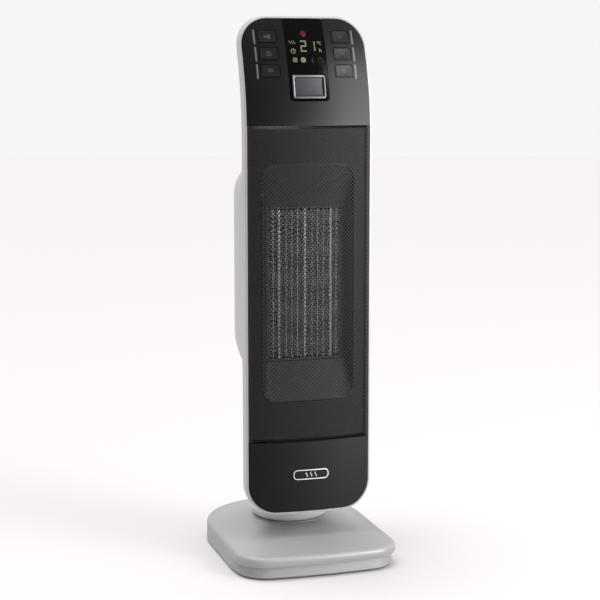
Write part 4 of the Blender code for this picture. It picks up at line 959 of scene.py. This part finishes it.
class HEATER_OT_covers(bpy.types.Operator):
    """Makes the control panel, the lower fascia and the plain badge"""

    bl_idname = "heater.covers"
    bl_label = "Front Covers"

    def execute(self, context):
        sizes = context.scene.heater_sizes
        low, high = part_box("control_panel")
        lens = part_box("display_lens")
        strip = rounded_rectangle(lens[0].x - SEAM, lens[1].x + SEAM, lens[0].z - SEAM, high.z + 9 * CUT, 5 * MM, 8)
        holes = [strip]
        for number in range(1, 7):
            a, b = key_edges(f"key_{number}")
            gap = 2 * SEAM
            holes.append(rounded_rectangle(a[0] - gap, b[0] + gap, a[1] - gap, b[1] + gap, 2.4 * MM, 5))
        shape = cover_shape(low.z, high.z + CUT, 0, sizes.cover, holes)
        piece(
            "control_panel_cover", bent(shape), "lacquer", "tower", ["control_panel"], weighted=True
        )
        low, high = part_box("lower_fascia")
        shape = cover_shape(low.z - CUT, high.z, 0, sizes.cover)
        piece(
            "lower_fascia_cover", bent(shape), "lacquer", "tower", ["lower_fascia"], weighted=True
        )
        self.make_badge()
        return {"FINISHED"}

    def make_badge(self):
        low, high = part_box("badge")
        radius, thick, raised = 5.2 * MM, 1.2 * MM, 0.25 * MM
        outline = rounded_rectangle(low.x, high.x, low.z, high.z, radius, 8)
        shape = prism(outline, -thick, -0.25 * MM)
        inner = rounded_rectangle(low.x + MM, high.x - MM, low.z + MM, high.z - MM, radius - MM, 8)
        shape = combined(shape, prism(inner, -2 * thick, -thick + raised))
        round_edges(shape, lambda e: all(v.co.y < -thick + 1e-6 for v in e.verts), 0.15 * MM, 2)
        plate = piece(
            "badge_plate", bent(shape), "lacquer", "tower", ["badge"], extra=["badge"]
        )
        for face in plate.data.polygons:
            depth = face.center.y - front_y(face.center.x, face.center.z)
            face.material_index = 1 if depth < -thick + 0.8 * raised else 0
        middle = (low.z + high.z) / 2
        waves = [heat_wave(x * MM, middle, 6.2 * MM, 0.95 * MM) for x in (-5.5, 0, 5.5)]
        relief = gathered([prism(outline, -thick - 0.02 * MM, -thick + 0.5 * MM) for outline in waves])
        piece("badge_waves", bent(relief, 0.8 * MM), "badge", "tower")


def heat_wave(x, z, height, width):
    """Outline of one upright rising-heat line."""
    left, right = [], []
    for i in range(17):
        share = i / 16
        middle = x + 0.9 * MM * math.sin(2 * math.pi * share)
        level = z - height / 2 + height * share
        half = width / 2 * (0.45 + 0.55 * math.sin(math.pi * share))
        left.append((middle - half, level))
        right.append((middle + half, level))
    return left + right[::-1]


def key_edges(node):
    """((left, bottom), (right, top)) of a key's outline, seen square to the flat front."""
    low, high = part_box(node)
    across, up = KEY_SIZES["power_key" if node == "power_key" else "key"]
    x = (low.x + high.x) / 2
    z = KEY_HEIGHTS[node]
    return (x - across / 2, z - up / 2), (x + across / 2, z + up / 2)


KEY_SIZES = {"key": (22 * MM, 14 * MM), "power_key": (41 * MM, 28 * MM)}
KEY_HEIGHTS = {
    "key_1": 632 * MM,
    "key_2": 612 * MM,
    "key_3": 592 * MM,
    "key_4": 632 * MM,
    "key_5": 612 * MM,
    "key_6": 592 * MM,
    "power_key": 574 * MM,
}
KEY_BODIES = {
    "key_1": "button_left_top",
    "key_2": "button_left_middle",
    "key_3": "button_left_bottom",
    "key_4": "button_right_top",
    "key_5": "button_right_middle",
    "key_6": "button_right_bottom",
    "power_key": "power_button",
}


def key_mark(number, x, z):
    """Small plain signs: heat steps, timer, swing, plus, minus and fan."""
    if number == 1:
        return [bar(x - 3 * MM + i * 2 * MM, z, 1 * MM, (2 + i) * MM) for i in range(4)]
    if number == 2:
        return [arc_band(x, z, 2.6 * MM, 0.6 * MM, 0, 355), bar(x, z + 0.8 * MM, 0.5 * MM, 1.8 * MM)]
    if number == 3:
        return [arc_band(x, z - 1 * MM, 3.4 * MM, 0.6 * MM, 25, 155), bar(x, z - 0.6 * MM, 4 * MM, 0.6 * MM)]
    if number == 4:
        upper, lower = z + 0.85 * MM, z - 0.85 * MM
        return [
            bar(x, z, 2.6 * MM, 0.6 * MM),
            bar(x, upper, 0.6 * MM, 1 * MM),
            bar(x, lower, 0.6 * MM, 1 * MM),
        ]
    if number == 5:
        return [bar(x, z, 2.6 * MM, 0.6 * MM)]
    return fan_sign(x, z, 2.4 * MM, 3)


class HEATER_OT_keys(bpy.types.Operator):
    """Makes the six small keys, their light bars and the large power key"""

    bl_idname = "heater.keys"
    bl_label = "Keys"

    def execute(self, context):
        for number in range(1, 7):
            node = f"key_{number}"
            (left, bottom), (right, top) = key_edges(node)
            proud = 0.55 * MM
            shape = prism(rounded_rectangle(left, right, bottom, top, 2.2 * MM, 6), -proud, 4 * MM)
            round_edges(shape, lambda e: all(abs(v.co.y + proud) < 1e-6 for v in e.verts), 1.0 * MM, 4)
            sliced(shape, steps_between(left, right, 1.5 * MM), steps_between(bottom, top, 1.5 * MM))
            x, z = (left + right) / 2, (bottom + top) / 2
            for vert in shape.verts:
                if vert.co.y < -0.3 * MM:
                    u, v = 2 * (vert.co.x - x) / (right - left), 2 * (vert.co.z - z) / (top - bottom)
                    vert.co.y += 0.45 * MM * max(0, 1 - u * u) * max(0, 1 - v * v)
            piece(f"{node}_cap", bent(shape), "key_abs", KEY_BODIES[node], [node], weighted=True)
            marks = [prism(outline, -0.28 * MM, 0.2 * MM) for outline in key_mark(number, x, z)]
            piece(f"{node}_mark", bent(gathered(marks)), "ink", KEY_BODIES[node])
        bars = []
        for number in range(1, 7):
            (left, bottom), (right, top) = key_edges(f"key_{number}")
            middle = left - 4.2 * MM if left < 0 else right + 4.2 * MM
            outline = rounded_rectangle(
                middle - 1.1 * MM, middle + 1.1 * MM, bottom - 2 * MM, top + 1 * MM, 0.9 * MM, 5
            )
            bar = prism(outline, -0.2 * MM, 1.5 * MM)
            bars.append(round_edges(bar, lambda e: all(v.co.y < 0 for v in e.verts), 0.15 * MM, 2))
        piece("light_bars", bent(gathered(bars)), "frosted", "tower")
        self.make_power_key()
        return {"FINISHED"}

    def make_power_key(self):
        (left, bottom), (right, top) = key_edges("power_key")
        proud, border, sink = 0.65 * MM, 2.6 * MM, 1.3 * MM
        rims = (
            (0.0, 4 * MM, 3 * MM),
            (0.0, -proud + 1.2 * MM, 3 * MM),
            (0.25 * MM, -proud + 0.5 * MM, 2.8 * MM),
            (0.8 * MM, -proud, 2.4 * MM),
            (border - 0.5 * MM, -proud, 1.6 * MM),
            (border, -proud + 0.2 * MM, 1.5 * MM),
            (border + 1.4 * MM, -proud + sink, 1.2 * MM),
        )
        sections = []
        for inset, depth, radius in rims:
            outline = rounded_rectangle(left + inset, right - inset, bottom + inset, top - inset, radius, 6)
            sections.append([(x, depth, z) for x, z in outline])
        shape = loft(sections)
        sliced(shape, steps_between(left, right, 1.6 * MM), steps_between(bottom, top, 1.6 * MM))
        z = (bottom + top) / 2
        for vert in shape.verts:
            on_face = -proud + sink - 1e-6 < vert.co.y < 3 * MM
            if on_face and self.inside(vert.co, left, right, bottom, top):
                v = 2 * (vert.co.z - z) / (top - bottom)
                vert.co.y += 1.6 * MM * max(0, 0.75 - v * v)
        made = piece(
            "power_key_cap",
            bent(shape),
            "key_face",
            "power_button",
            ["power_key"],
            extra=["metallised"],
        )
        for face in made.data.polygons:
            depth = face.center.y - front_y(face.center.x, face.center.z)
            inset = min(
                face.center.x - left, right - face.center.x, face.center.z - bottom, top - face.center.z
            )
            face.material_index = 1 if depth < -proud + 0.75 * MM and inset < border + 0.3 * MM else 0

    def inside(self, co, left, right, bottom, top):
        inset = 3.9 * MM
        return left + inset < co.x < right - inset and bottom + inset < co.z < top - inset


# ---------------------------------------------------------------- display
def bar(x, z, width, height, skew=0.0):
    """A slanted bar of a lit number, by its middle."""
    left, right, low, high = x - width / 2, x + width / 2, z - height / 2, z + height / 2
    return [(left, low), (right, low), (right + skew, high), (left + skew, high)]


def digit(x, z, width, height, lit_bars):
    """A seven-bar number: t top, m middle, b bottom, and the upright bars by corner."""
    thick, gap = 1.5 * MM, 0.25 * MM
    across = width - 2 * gap
    upright = height / 2 - thick / 2 - gap
    places = {
        "t": (x, z + height / 2 - thick / 2, across, thick),
        "m": (x, z, across, thick),
        "b": (x, z - height / 2 + thick / 2, across, thick),
        "tl": (x - width / 2 + thick / 2, z + height / 4, thick, upright),
        "tr": (x + width / 2 - thick / 2, z + height / 4, thick, upright),
        "bl": (x - width / 2 + thick / 2, z - height / 4, thick, upright),
        "br": (x + width / 2 - thick / 2, z - height / 4, thick, upright),
    }
    return [bar(*places[name]) for name in lit_bars]


def arc_band(x, z, radius, thick, first, last, steps=20):
    """Outline of part of a ring, between two angles in degrees."""
    outer, inner = [], []
    for i in range(steps + 1):
        angle = math.radians(first + (last - first) * i / steps)
        outer.append((x + radius * math.cos(angle), z + radius * math.sin(angle)))
        inner.append((x + (radius - thick) * math.cos(angle), z + (radius - thick) * math.sin(angle)))
    return outer + inner[::-1]


def fan_sign(x, z, radius, blades=4):
    """Small blower sign: curved blades round a hub."""
    shapes = [circle(0.22 * radius, (x, z), 12)]
    for i in range(blades):
        turn = 2 * math.pi * i / blades
        blade = []
        for k in range(9):
            angle = turn + math.radians(8 + 62 * k / 8)
            blade.append((x + radius * math.cos(angle), z + radius * math.sin(angle)))
        blade.append((x + 0.3 * radius * math.cos(turn + 1.1), z + 0.3 * radius * math.sin(turn + 1.1)))
        blade.append((x + 0.3 * radius * math.cos(turn + 0.2), z + 0.3 * radius * math.sin(turn + 0.2)))
        shapes.append(blade)
    return shapes


class HEATER_OT_display(bpy.types.Operator):
    """Makes the black window, the lit temperature and the small signs"""

    bl_idname = "heater.display"
    bl_label = "Display"

    def execute(self, context):
        sizes = context.scene.heater_sizes
        low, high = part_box("display_lens")
        (left, bottom), (right, top) = key_edges("power_key")
        strip = rounded_rectangle(low.x, high.x, low.z, high.z + 9 * CUT, 5 * MM, 8)
        hole = rounded_rectangle(
            left - 2 * SEAM, right + 2 * SEAM, bottom - 2 * SEAM, top + 2 * SEAM, 3.4 * MM, 6
        )
        shape = cover_shape(low.z, high.z + CUT, 0, sizes.cover, [hole], [strip], 0.4 * MM)
        piece(
            "display_window", bent(shape), "acrylic", "tower", ["display_lens"], weighted=True
        )
        z = 621 * MM
        green = digit(-2.6 * MM, z, 7.4 * MM, 13 * MM, ("t", "tr", "m", "bl", "b"))
        green += digit(8.2 * MM, z, 7 * MM, 12 * MM, ("tr", "br"))
        green += [arc_band(15.6 * MM, 625.6 * MM, 1.1 * MM, 0.55 * MM, 0, 350)]
        green += [arc_band(18.6 * MM, 624.6 * MM, 1.9 * MM, 0.7 * MM, 50, 310)]
        green += [bar(16.6 * MM, 616.2 * MM, 0.8 * MM, 4.2 * MM), bar(18.6 * MM, 615.2 * MM, 0.8 * MM, 2.4 * MM)]
        green += [arc_band(17.6 * MM, 616.1 * MM, 1.4 * MM, 0.7 * MM, 0, 180, 10)]
        for x in (-18.6, -15.9, -13.2):
            green.append(heat_wave(x * MM, 625.4 * MM, 4.2 * MM, 0.8 * MM))
        green.append(arc_band(-15.6 * MM, 615.2 * MM, 3 * MM, 0.75 * MM, 0, 355))
        green += [bar(-15.6 * MM, 616 * MM, 0.6 * MM, 2 * MM), bar(-14.9 * MM, 615.2 * MM, 1.8 * MM, 0.6 * MM)]
        green += fan_sign(-14.6 * MM, 605 * MM, 3 * MM)
        green += fan_sign(-4.6 * MM, 605 * MM, 3.1 * MM, 6)
        self.signs("lit_numbers", green, "digits")
        red = [bar(6.6 * MM, 605.6 * MM, 1.2 * MM, 5.6 * MM), circle(1.5 * MM, (6.6 * MM, 603.2 * MM), 16)]
        red += [arc_band(16.4 * MM, 605 * MM, 3 * MM, 0.8 * MM, -60, 240)]
        red += [bar(16.4 * MM, 607.2 * MM, 0.9 * MM, 3.2 * MM)]
        self.signs("warning_signs", red, "alarm")
        dome = []
        radius = 3.4 * MM
        for level in range(5):
            angle = math.radians(22 * level)
            ring = circle(radius * math.cos(angle), (-1.2 * MM, 635.6 * MM), 28)
            dome.append([(x, -0.02 * MM - 0.35 * MM * math.sin(angle), z) for x, z in ring])
        dome.insert(0, [(x, 0.4 * MM, z) for x, z in circle(radius, (-1.2 * MM, 635.6 * MM), 28)])
        piece("standby_light", bent(loft(dome)), "standby", "tower")
        return {"FINISHED"}

    def signs(self, name, outlines, finish):
        shapes = [prism(outline, -0.05 * MM, 0.3 * MM) for outline in outlines]
        piece(name, bent(gathered(shapes)), finish, "tower")


# ---------------------------------------------------------------- grille
def opening_cell(half, strut, thickness):
    """One diamond of the sheet with its rounded diamond opening: front, back and the opening's wall."""
    shape = bmesh.new()
    corners = [(half, 0), (0, half), (-half, 0), (0, -half)]
    side = half / math.sqrt(2) - strut / 2
    rim = []
    for i in range(8):
        reach = side * (1.36 if i % 2 == 0 else 1.0)
        rim.append((reach * math.cos(math.pi * i / 4), reach * math.sin(math.pi * i / 4)))
    layers = []
    for y in (0.0, thickness):
        outer = [shape.verts.new((x, y, z)) for x, z in corners]
        hole = [shape.verts.new((x, y, z)) for x, z in rim]
        for i in range(4):
            a, b = outer[i], outer[(i + 1) % 4]
            h0, h1, h2 = hole[2 * i], hole[2 * i + 1], hole[(2 * i + 2) % 8]
            for face in ((a, h1, h0), (a, b, h1), (b, h2, h1)):
                shape.faces.new(face if y else face[::-1])
        layers.append(hole)
    for i in range(8):
        j = (i + 1) % 8
        shape.faces.new((layers[0][i], layers[0][j], layers[1][j], layers[1][i]))
    return shape


def close_rim(shape):
    """Walls between the open front and back edges of a sheet made of cells."""
    behind = {}
    for vert in shape.verts:
        behind.setdefault((round(vert.co.x, 6), round(vert.co.z, 6)), []).append(vert)
    open_edges = [e for e in shape.edges if len(e.link_faces) == 1]
    for edge in open_edges:
        a, b = edge.verts
        if abs(a.co.y) > 1e-6 or abs(b.co.y) > 1e-6:
            continue
        c = max(behind[(round(b.co.x, 6), round(b.co.z, 6))], key=lambda v: v.co.y)
        d = max(behind[(round(a.co.x, 6), round(a.co.z, 6))], key=lambda v: v.co.y)
        shape.faces.new((a, b, c, d))
    bmesh.ops.recalc_face_normals(shape, faces=shape.faces)
    return shape


class HEATER_OT_grille(bpy.types.Operator):
    """Makes the perforated front grille"""

    bl_idname = "heater.grille"
    bl_label = "Front Grille"

    def execute(self, context):
        sizes = context.scene.heater_sizes
        low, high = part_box("front_grille")
        pitch, thickness = sizes.hole_pitch, 0.9 * MM
        columns = int((high.x - low.x - 0.2 * MM) / pitch)
        rows = int((high.z - low.z) / pitch)
        cell = opening_cell(pitch / 2, sizes.strut, thickness)
        sheet = repeated(cell, columns, rows, pitch, pitch, "enamel", staggered=True, weld=0.02 * MM)
        close_rim(sheet)
        moved(sheet, z=(low.z + high.z) / 2)
        for vert in sheet.verts:
            vert.co.y += front_y(vert.co.x, vert.co.z) + 0.3 * MM
        edges = []
        reach = (columns - 1) * pitch / 2 - 0.1 * MM
        for side in (-1, 1):
            inner, outer = side * reach, side * high.x
            strip = rounded_rectangle(min(inner, outer), max(inner, outer), low.z, high.z, 0.3 * MM, 2)
            edges.append(bent(prism(strip, 0.2 * MM, thickness + 0.4 * MM)))
        whole = gathered([sheet, *edges])
        piece("front_grille_sheet", whole, "enamel", "tower", ["front_grille"], sharp=25)
        return {"FINISHED"}


# ---------------------------------------------------------------- element and air path
class HEATER_OT_element(bpy.types.Operator):
    """Makes the ceramic element's fins and bars"""

    bl_idname = "heater.element"
    bl_label = "Heating Element"

    def execute(self, context):
        sizes = context.scene.heater_sizes
        for number in range(1, 5):
            node = f"fin_pack_{number}"
            low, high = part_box(node)
            rows = int((high.z - low.z) / sizes.fin_pitch)
            outline = rounded_rectangle(
                low.x, high.x, -sizes.fin_thickness / 2, sizes.fin_thickness / 2, 0.1 * MM, 1
            )
            fin = prism(outline, low.y, high.y)
            fins = repeated(fin, 1, rows, sizes.fin_pitch, sizes.fin_pitch, "fins")
            moved(fins, z=(low.z + high.z) / 2)
            ribs = []
            count = 3 if high.x - low.x > 20 * MM else 1
            for i in range(count):
                x = low.x + (high.x - low.x) * (i + 1) / (count + 1)
                rib = rounded_rectangle(x - 0.4 * MM, x + 0.4 * MM, low.z, high.z, 0.1 * MM, 1)
                ribs.append(prism(rib, low.y - 0.2 * MM, low.y + 3 * MM))
            piece(f"{node}_fins", gathered([fins, *ribs]), "fins", "tower", [node])
        for number in range(1, 4):
            node = f"heater_bar_{number}"
            low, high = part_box(node)
            shape = prism(rounded_rectangle(low.x, high.x, low.z, high.z, 0.5 * MM, 3), low.y, high.y)
            round_edges(shape, lambda e: all(abs(v.co.y - low.y) < 1e-6 for v in e.verts), 0.5 * MM, 3)
            piece(f"{node}_extrusion", shape, "bar", "tower", [node])
        return {"FINISHED"}


# ---------------------------------------------------------------- back
def housing_curve():
    """A function that gives the blower housing's rear face at a distance from its middle."""
    sizes = bpy.context.scene.heater_sizes
    centre = front_y(tower_edges_cached()[0], sizes.housing_bottom) + sizes.frame_depth + 0.5 * MM
    width, reach = sizes.housing_width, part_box("intake_grille")[1].y - centre
    return lambda x: centre + reach * (1 - min(1.0, abs(x) / width) ** 4) ** 0.25


class HEATER_OT_back(bpy.types.Operator):
    """Makes the intake grille, its dust filter, the handle and the rear screws"""

    bl_idname = "heater.back"
    bl_label = "Back"

    def execute(self, context):
        self.make_intake(context.scene.heater_sizes)
        self.make_filter()
        self.make_handle()
        self.make_screws()
        return {"FINISHED"}

    def follow_housing(self, shape):
        sliced(shape, steps_between(-50 * MM, 50 * MM, 3 * MM))
        rear = housing_curve()
        for vert in shape.verts:
            vert.co.y = rear(vert.co.x) - vert.co.y
        bmesh.ops.reverse_faces(shape, faces=shape.faces)
        return shape

    def make_intake(self, sizes):
        low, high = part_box("intake_grille")
        border, thick = 6 * MM, 3 * MM
        outline = rounded_rectangle(low.x, high.x, low.z, high.z, 10 * MM, 10)
        inner = rounded_rectangle(low.x + border, high.x - border, low.z + border, high.z - border, 5 * MM, 8)
        ring = combined(prism(outline, 0.05 * MM, thick), prism(inner, -CUT, thick + CUT))
        round_edges(ring, lambda e: all(abs(v.co.y - 0.05 * MM) < 1e-6 for v in e.verts), 0.8 * MM, 3)
        pitch = (high.z - low.z - 2 * border) / sizes.louvres
        width = high.x - low.x - 2 * border + MM
        slat = rounded_rectangle(-width / 2, width / 2, -0.35 * pitch, 0.12 * pitch, 0.4 * MM, 2)
        slat = prism(slat, 0.5 * MM, thick)
        for vert in slat.verts:
            vert.co.z += 0.35 * (thick - vert.co.y) - 0.2 * MM
        slats = repeated(slat, 1, sizes.louvres, pitch, pitch, "white_abs")
        moved(slats, z=(low.z + high.z) / 2)
        ribs = []
        for x in (-0.18 * width, 0.18 * width):
            rib = rounded_rectangle(x - MM, x + MM, low.z + border - MM, high.z - border + MM, 0.3 * MM, 2)
            ribs.append(prism(rib, 1.2 * MM, thick))
        whole = self.follow_housing(gathered([ring, slats, *ribs]))
        piece("intake_louvres", whole, "white_abs", "intake", ["intake_grille"], weighted=True)

    def make_filter(self):
        low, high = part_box("dust_filter")
        border = 4 * MM
        outline = rounded_rectangle(low.x, high.x, low.z, high.z, 3 * MM, 5)
        inner = rounded_rectangle(low.x + border, high.x - border, low.z + border, high.z - border, 2 * MM, 5)
        ring = combined(prism(outline, low.y, high.y), prism(inner, low.y - CUT, high.y + CUT))
        middle, depth = (low.z + high.z) / 2, (low.y + high.y) / 2
        pitch, wire = 2.4 * MM, 0.5 * MM
        width, height = high.x - low.x - border, high.z - low.z - border
        upright = prism(rounded_rectangle(-wire / 2, wire / 2, -height / 2, height / 2, 0.1 * MM, 1), 0, wire)
        level = prism(rounded_rectangle(-width / 2, width / 2, -wire / 2, wire / 2, 0.1 * MM, 1), -wire, 0)
        uprights = repeated(upright, int(width / pitch), 1, pitch, pitch, "polyester")
        levels = repeated(level, 1, int(height / pitch), pitch, pitch, "polyester")
        mesh = moved(gathered([uprights, levels]), y=depth, z=middle)
        piece("dust_filter_mesh", gathered([ring, mesh]), "polyester", "intake", ["dust_filter"])

    def make_handle(self):
        sizes = bpy.context.scene.heater_sizes
        low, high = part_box("handle_cup")
        outer = rounded_rectangle(low.x, high.x, low.z, high.z, 9.7 * MM, 12)
        wall = 2 * MM
        inner = rounded_rectangle(low.x + wall, high.x - wall, low.z + wall, high.z - wall, 7.7 * MM, 12)
        heights = [low.z - CUT + (high.z - low.z + 2 * CUT) * i / 12 for i in range(13)]
        trim = loft([shell_section(z, 0.3 * MM, sizes.frame_depth) for z in heights])
        shape = combined(prism(outer, low.y, high.y + 2 * CUT), trim, "INTERSECT")
        pocket = prism(inner, low.y + wall, high.y + 3 * CUT)
        round_edges(pocket, lambda e: all(abs(v.co.y - low.y - wall) < 1e-6 for v in e.verts), 4 * MM, 6)
        shape = combined(shape, pocket)
        piece("handle_pocket", shape, "black_abs", "tower", ["handle_cup"])

    def make_screws(self):
        for number, (x, z, y) in enumerate(screw_places(), 1):
            node = f"rear_screw_{number}"
            low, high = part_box(node)
            head = high.x - x
            sections = [[(u, low.y, v) for u, v in circle(0.5 * MM, (x, z), 24)]]
            shank = ((1.5 * MM, low.y + 2 * MM), (1.6 * MM, y))
            for radius, depth in (*shank, (head, y), (head, y + SCREW_RIM)):
                sections.append([(u, depth, v) for u, v in circle(radius, (x, z), 24)])
            for i in range(1, 5):
                angle = math.radians(20 * i)
                radius = head * math.cos(angle)
                depth = y + SCREW_RIM + SCREW_DOME * math.sin(angle)
                sections.append([(u, depth, v) for u, v in circle(radius, (x, z), 24)])
            shape = loft(sections)
            arm, wide = 1.9 * MM, 0.45 * MM
            # One arm after the other: as a single cutter the two arms cross each other,
            # and the boolean can then leave nothing of the screw.
            for across, along, floor in ((arm, wide, SCREW_RIM), (wide, arm, SCREW_ARM_FLOOR)):
                outline = rounded_rectangle(x - across, x + across, z - along, z + along, 0.1 * MM, 1)
                shape = combined(shape, prism(outline, y + floor, high.y + CUT))
            piece(f"{node}_cross_head", shape, "steel", "tower", [node])


# ---------------------------------------------------------------- pieces kept from the frame
KEPT = {
    "duct": ("outlet_duct", "element_frame", "fan_scroll", "fan_tongue", "fan_lower_plate", "fan_upper_plate"),
    "steel": ("pivot_retainer", "tilt_weight", "oscillation_motor", "thermal_cutout", "fan_shaft", "motor_rotor"),
    "laminations": ("motor_core",),
    "copper": ("motor_coil",),
    "abs_painted_darker": ("thrust_ring",),
    # The outlet baffle's black finish is painted shade between the duct and the grille's sides.
    "baffle": ("outlet_baffle",),
    "nylon": ("pivot_post", "fixed_gear", "drive_pinion", "tilt_bracket", "fan_bush"),
    "board": ("control_board", "power_board"),
    "rubber": ("cord_gland",),
    "black_abs": ("fan_impeller",),
}


class HEATER_OT_inner(bpy.types.Operator):
    """Gives the inner pieces their finishes"""

    bl_idname = "heater.inner"
    bl_label = "Inner Pieces"

    def execute(self, context):
        for finish, nodes in KEPT.items():
            for name in nodes:
                mesh = NODES[name].data
                mesh.materials.clear()
                mesh.materials.append(finish_of(finish))
                mesh.shade_smooth()
                mesh.set_sharp_from_angle(angle=math.radians(30))
        return {"FINISHED"}


# ---------------------------------------------------------------- stage
class HEATER_OT_stage(bpy.types.Operator):
    """Makes the floor, the studio lights and the camera"""

    bl_idname = "heater.stage"
    bl_label = "Stage"

    def execute(self, context):
        scene = context.scene
        scene.view_settings.view_transform = "Standard"
        floor = as_object("studio_floor", prism(circle(9.0, (0, 0), 64), -0.01, 0, "Z"))
        floor.data.materials.append(finish_of("studio"))
        world = bpy.data.worlds.new("studio")
        scene.world = world
        world.use_nodes = True
        sky = world.node_tree.nodes["Background"]
        sky.inputs["Color"].default_value = (*hex_colour("#F8F5F6"), 1)
        self.shade_room(world.node_tree, sky)
        self.distant_light("key_light", (-0.22, 0.08, 0.97), 2.15, 40)
        self.softbox("side_softbox", (1.75, -1.9, 1.15), (0, 0, 0.55), 1.2, 2.4, 45)
        # A near card that only glossy faces pick up gives the panels their lighter right side.
        card = self.softbox("gloss_card", (1.35, -1.35, 0.86), (0, 0, 0.5), 1.1, 1.7, 72)
        low_card = self.softbox("low_card", (0.78, -1.38, 0.34), (0, 0, 0.12), 0.8, 0.6, 19)
        for lamp in (card, low_card):
            lamp.visible_diffuse = lamp.visible_camera = False
        camera_data = bpy.data.cameras.new("studio_camera")
        camera_data.lens = 94.64
        camera_data.sensor_width = 36
        camera = bpy.data.objects.new("studio_camera", camera_data)
        scene.collection.objects.link(camera)
        camera.location = (-0.5506, -1.8453, 0.5934)
        camera.rotation_euler = (math.radians(81.70), 0, math.radians(-16.88))
        scene.camera = camera
        return {"FINISHED"}

    def shade_room(self, tree, sky):
        """The studio is bright overhead and behind the heater, dimmer low on its near left side."""
        direction = add_node(tree, "ShaderNodeTexCoord")
        towards = add_node(
            tree, "ShaderNodeVectorMath", links={"Vector": (direction, "Generated")}, operation="DOT_PRODUCT"
        )
        towards.inputs[1].default_value = (0.55, 0.55, 0.6)
        strength = add_node(
            tree,
            "ShaderNodeMapRange",
            {"From Min": -0.6, "From Max": 0.35, "To Min": 0.42, "To Max": 1.0},
            {"Value": (towards, "Value")},
            interpolation_type="SMOOTHSTEP",
        )
        # The backdrop itself stays evenly white from every side.
        ray = add_node(tree, "ShaderNodeLightPath")
        shown = add_node(
            tree,
            "ShaderNodeMath",
            links={"Value": (ray, "Is Camera Ray")},
            operation="MAXIMUM",
        )
        tree.links.new(strength.outputs["Result"], shown.inputs[1])
        tree.links.new(shown.outputs["Value"], sky.inputs["Strength"])

    def distant_light(self, name, place, strength, spread):
        data = bpy.data.lights.new(name, "SUN")
        data.energy, data.angle = strength, math.radians(spread)
        lamp = bpy.data.objects.new(name, data)
        bpy.context.scene.collection.objects.link(lamp)
        lamp.rotation_euler = (-Vector(place)).to_track_quat("-Z", "Y").to_euler()

    def softbox(self, name, place, aim, width, height, power):
        data = bpy.data.lights.new(name, "AREA")
        data.shape = "RECTANGLE"
        data.size, data.size_y, data.energy = width, height, power
        lamp = bpy.data.objects.new(name, data)
        bpy.context.scene.collection.objects.link(lamp)
        lamp.location = place
        lamp.rotation_euler = (Vector(aim) - Vector(place)).to_track_quat("-Z", "Y").to_euler()
        return lamp


class HEATER_PT_panel(bpy.types.Panel):
    """Lists the heater's operators and its main sizes"""

    bl_idname = "HEATER_PT_panel"
    bl_label = "Tower Heater"
    bl_space_type = "VIEW_3D"
    bl_region_type = "UI"
    bl_category = "Heater"

    def draw(self, context):
        for operator in OPERATORS:
            self.layout.operator(operator.bl_idname)
        for group in (context.scene.heater_sizes, context.scene.heater_colours):
            for name in group.__annotations__:
                self.layout.prop(group, name)


OPERATORS = (
    HEATER_OT_base,
    HEATER_OT_neck,
    HEATER_OT_shell,
    HEATER_OT_frame,
    HEATER_OT_covers,
    HEATER_OT_display,
    HEATER_OT_keys,
    HEATER_OT_grille,
    HEATER_OT_element,
    HEATER_OT_back,
    HEATER_OT_inner,
    HEATER_OT_stage,
)
CLASSES = (HeaterSizes, HeaterColours, *OPERATORS, HEATER_PT_panel)


def register():
    for cls in CLASSES:
        bpy.utils.register_class(cls)
    bpy.types.Scene.heater_sizes = PointerProperty(type=HeaterSizes)
    bpy.types.Scene.heater_colours = PointerProperty(type=HeaterColours)


def unregister():
    del bpy.types.Scene.heater_colours
    del bpy.types.Scene.heater_sizes
    for cls in reversed(CLASSES):
        bpy.utils.unregister_class(cls)


def main():
    register()
    for operator in OPERATORS:
        group, name = operator.bl_idname.split(".")
        getattr(getattr(bpy.ops, group), name)()


if __name__ == "__main__":
    main()
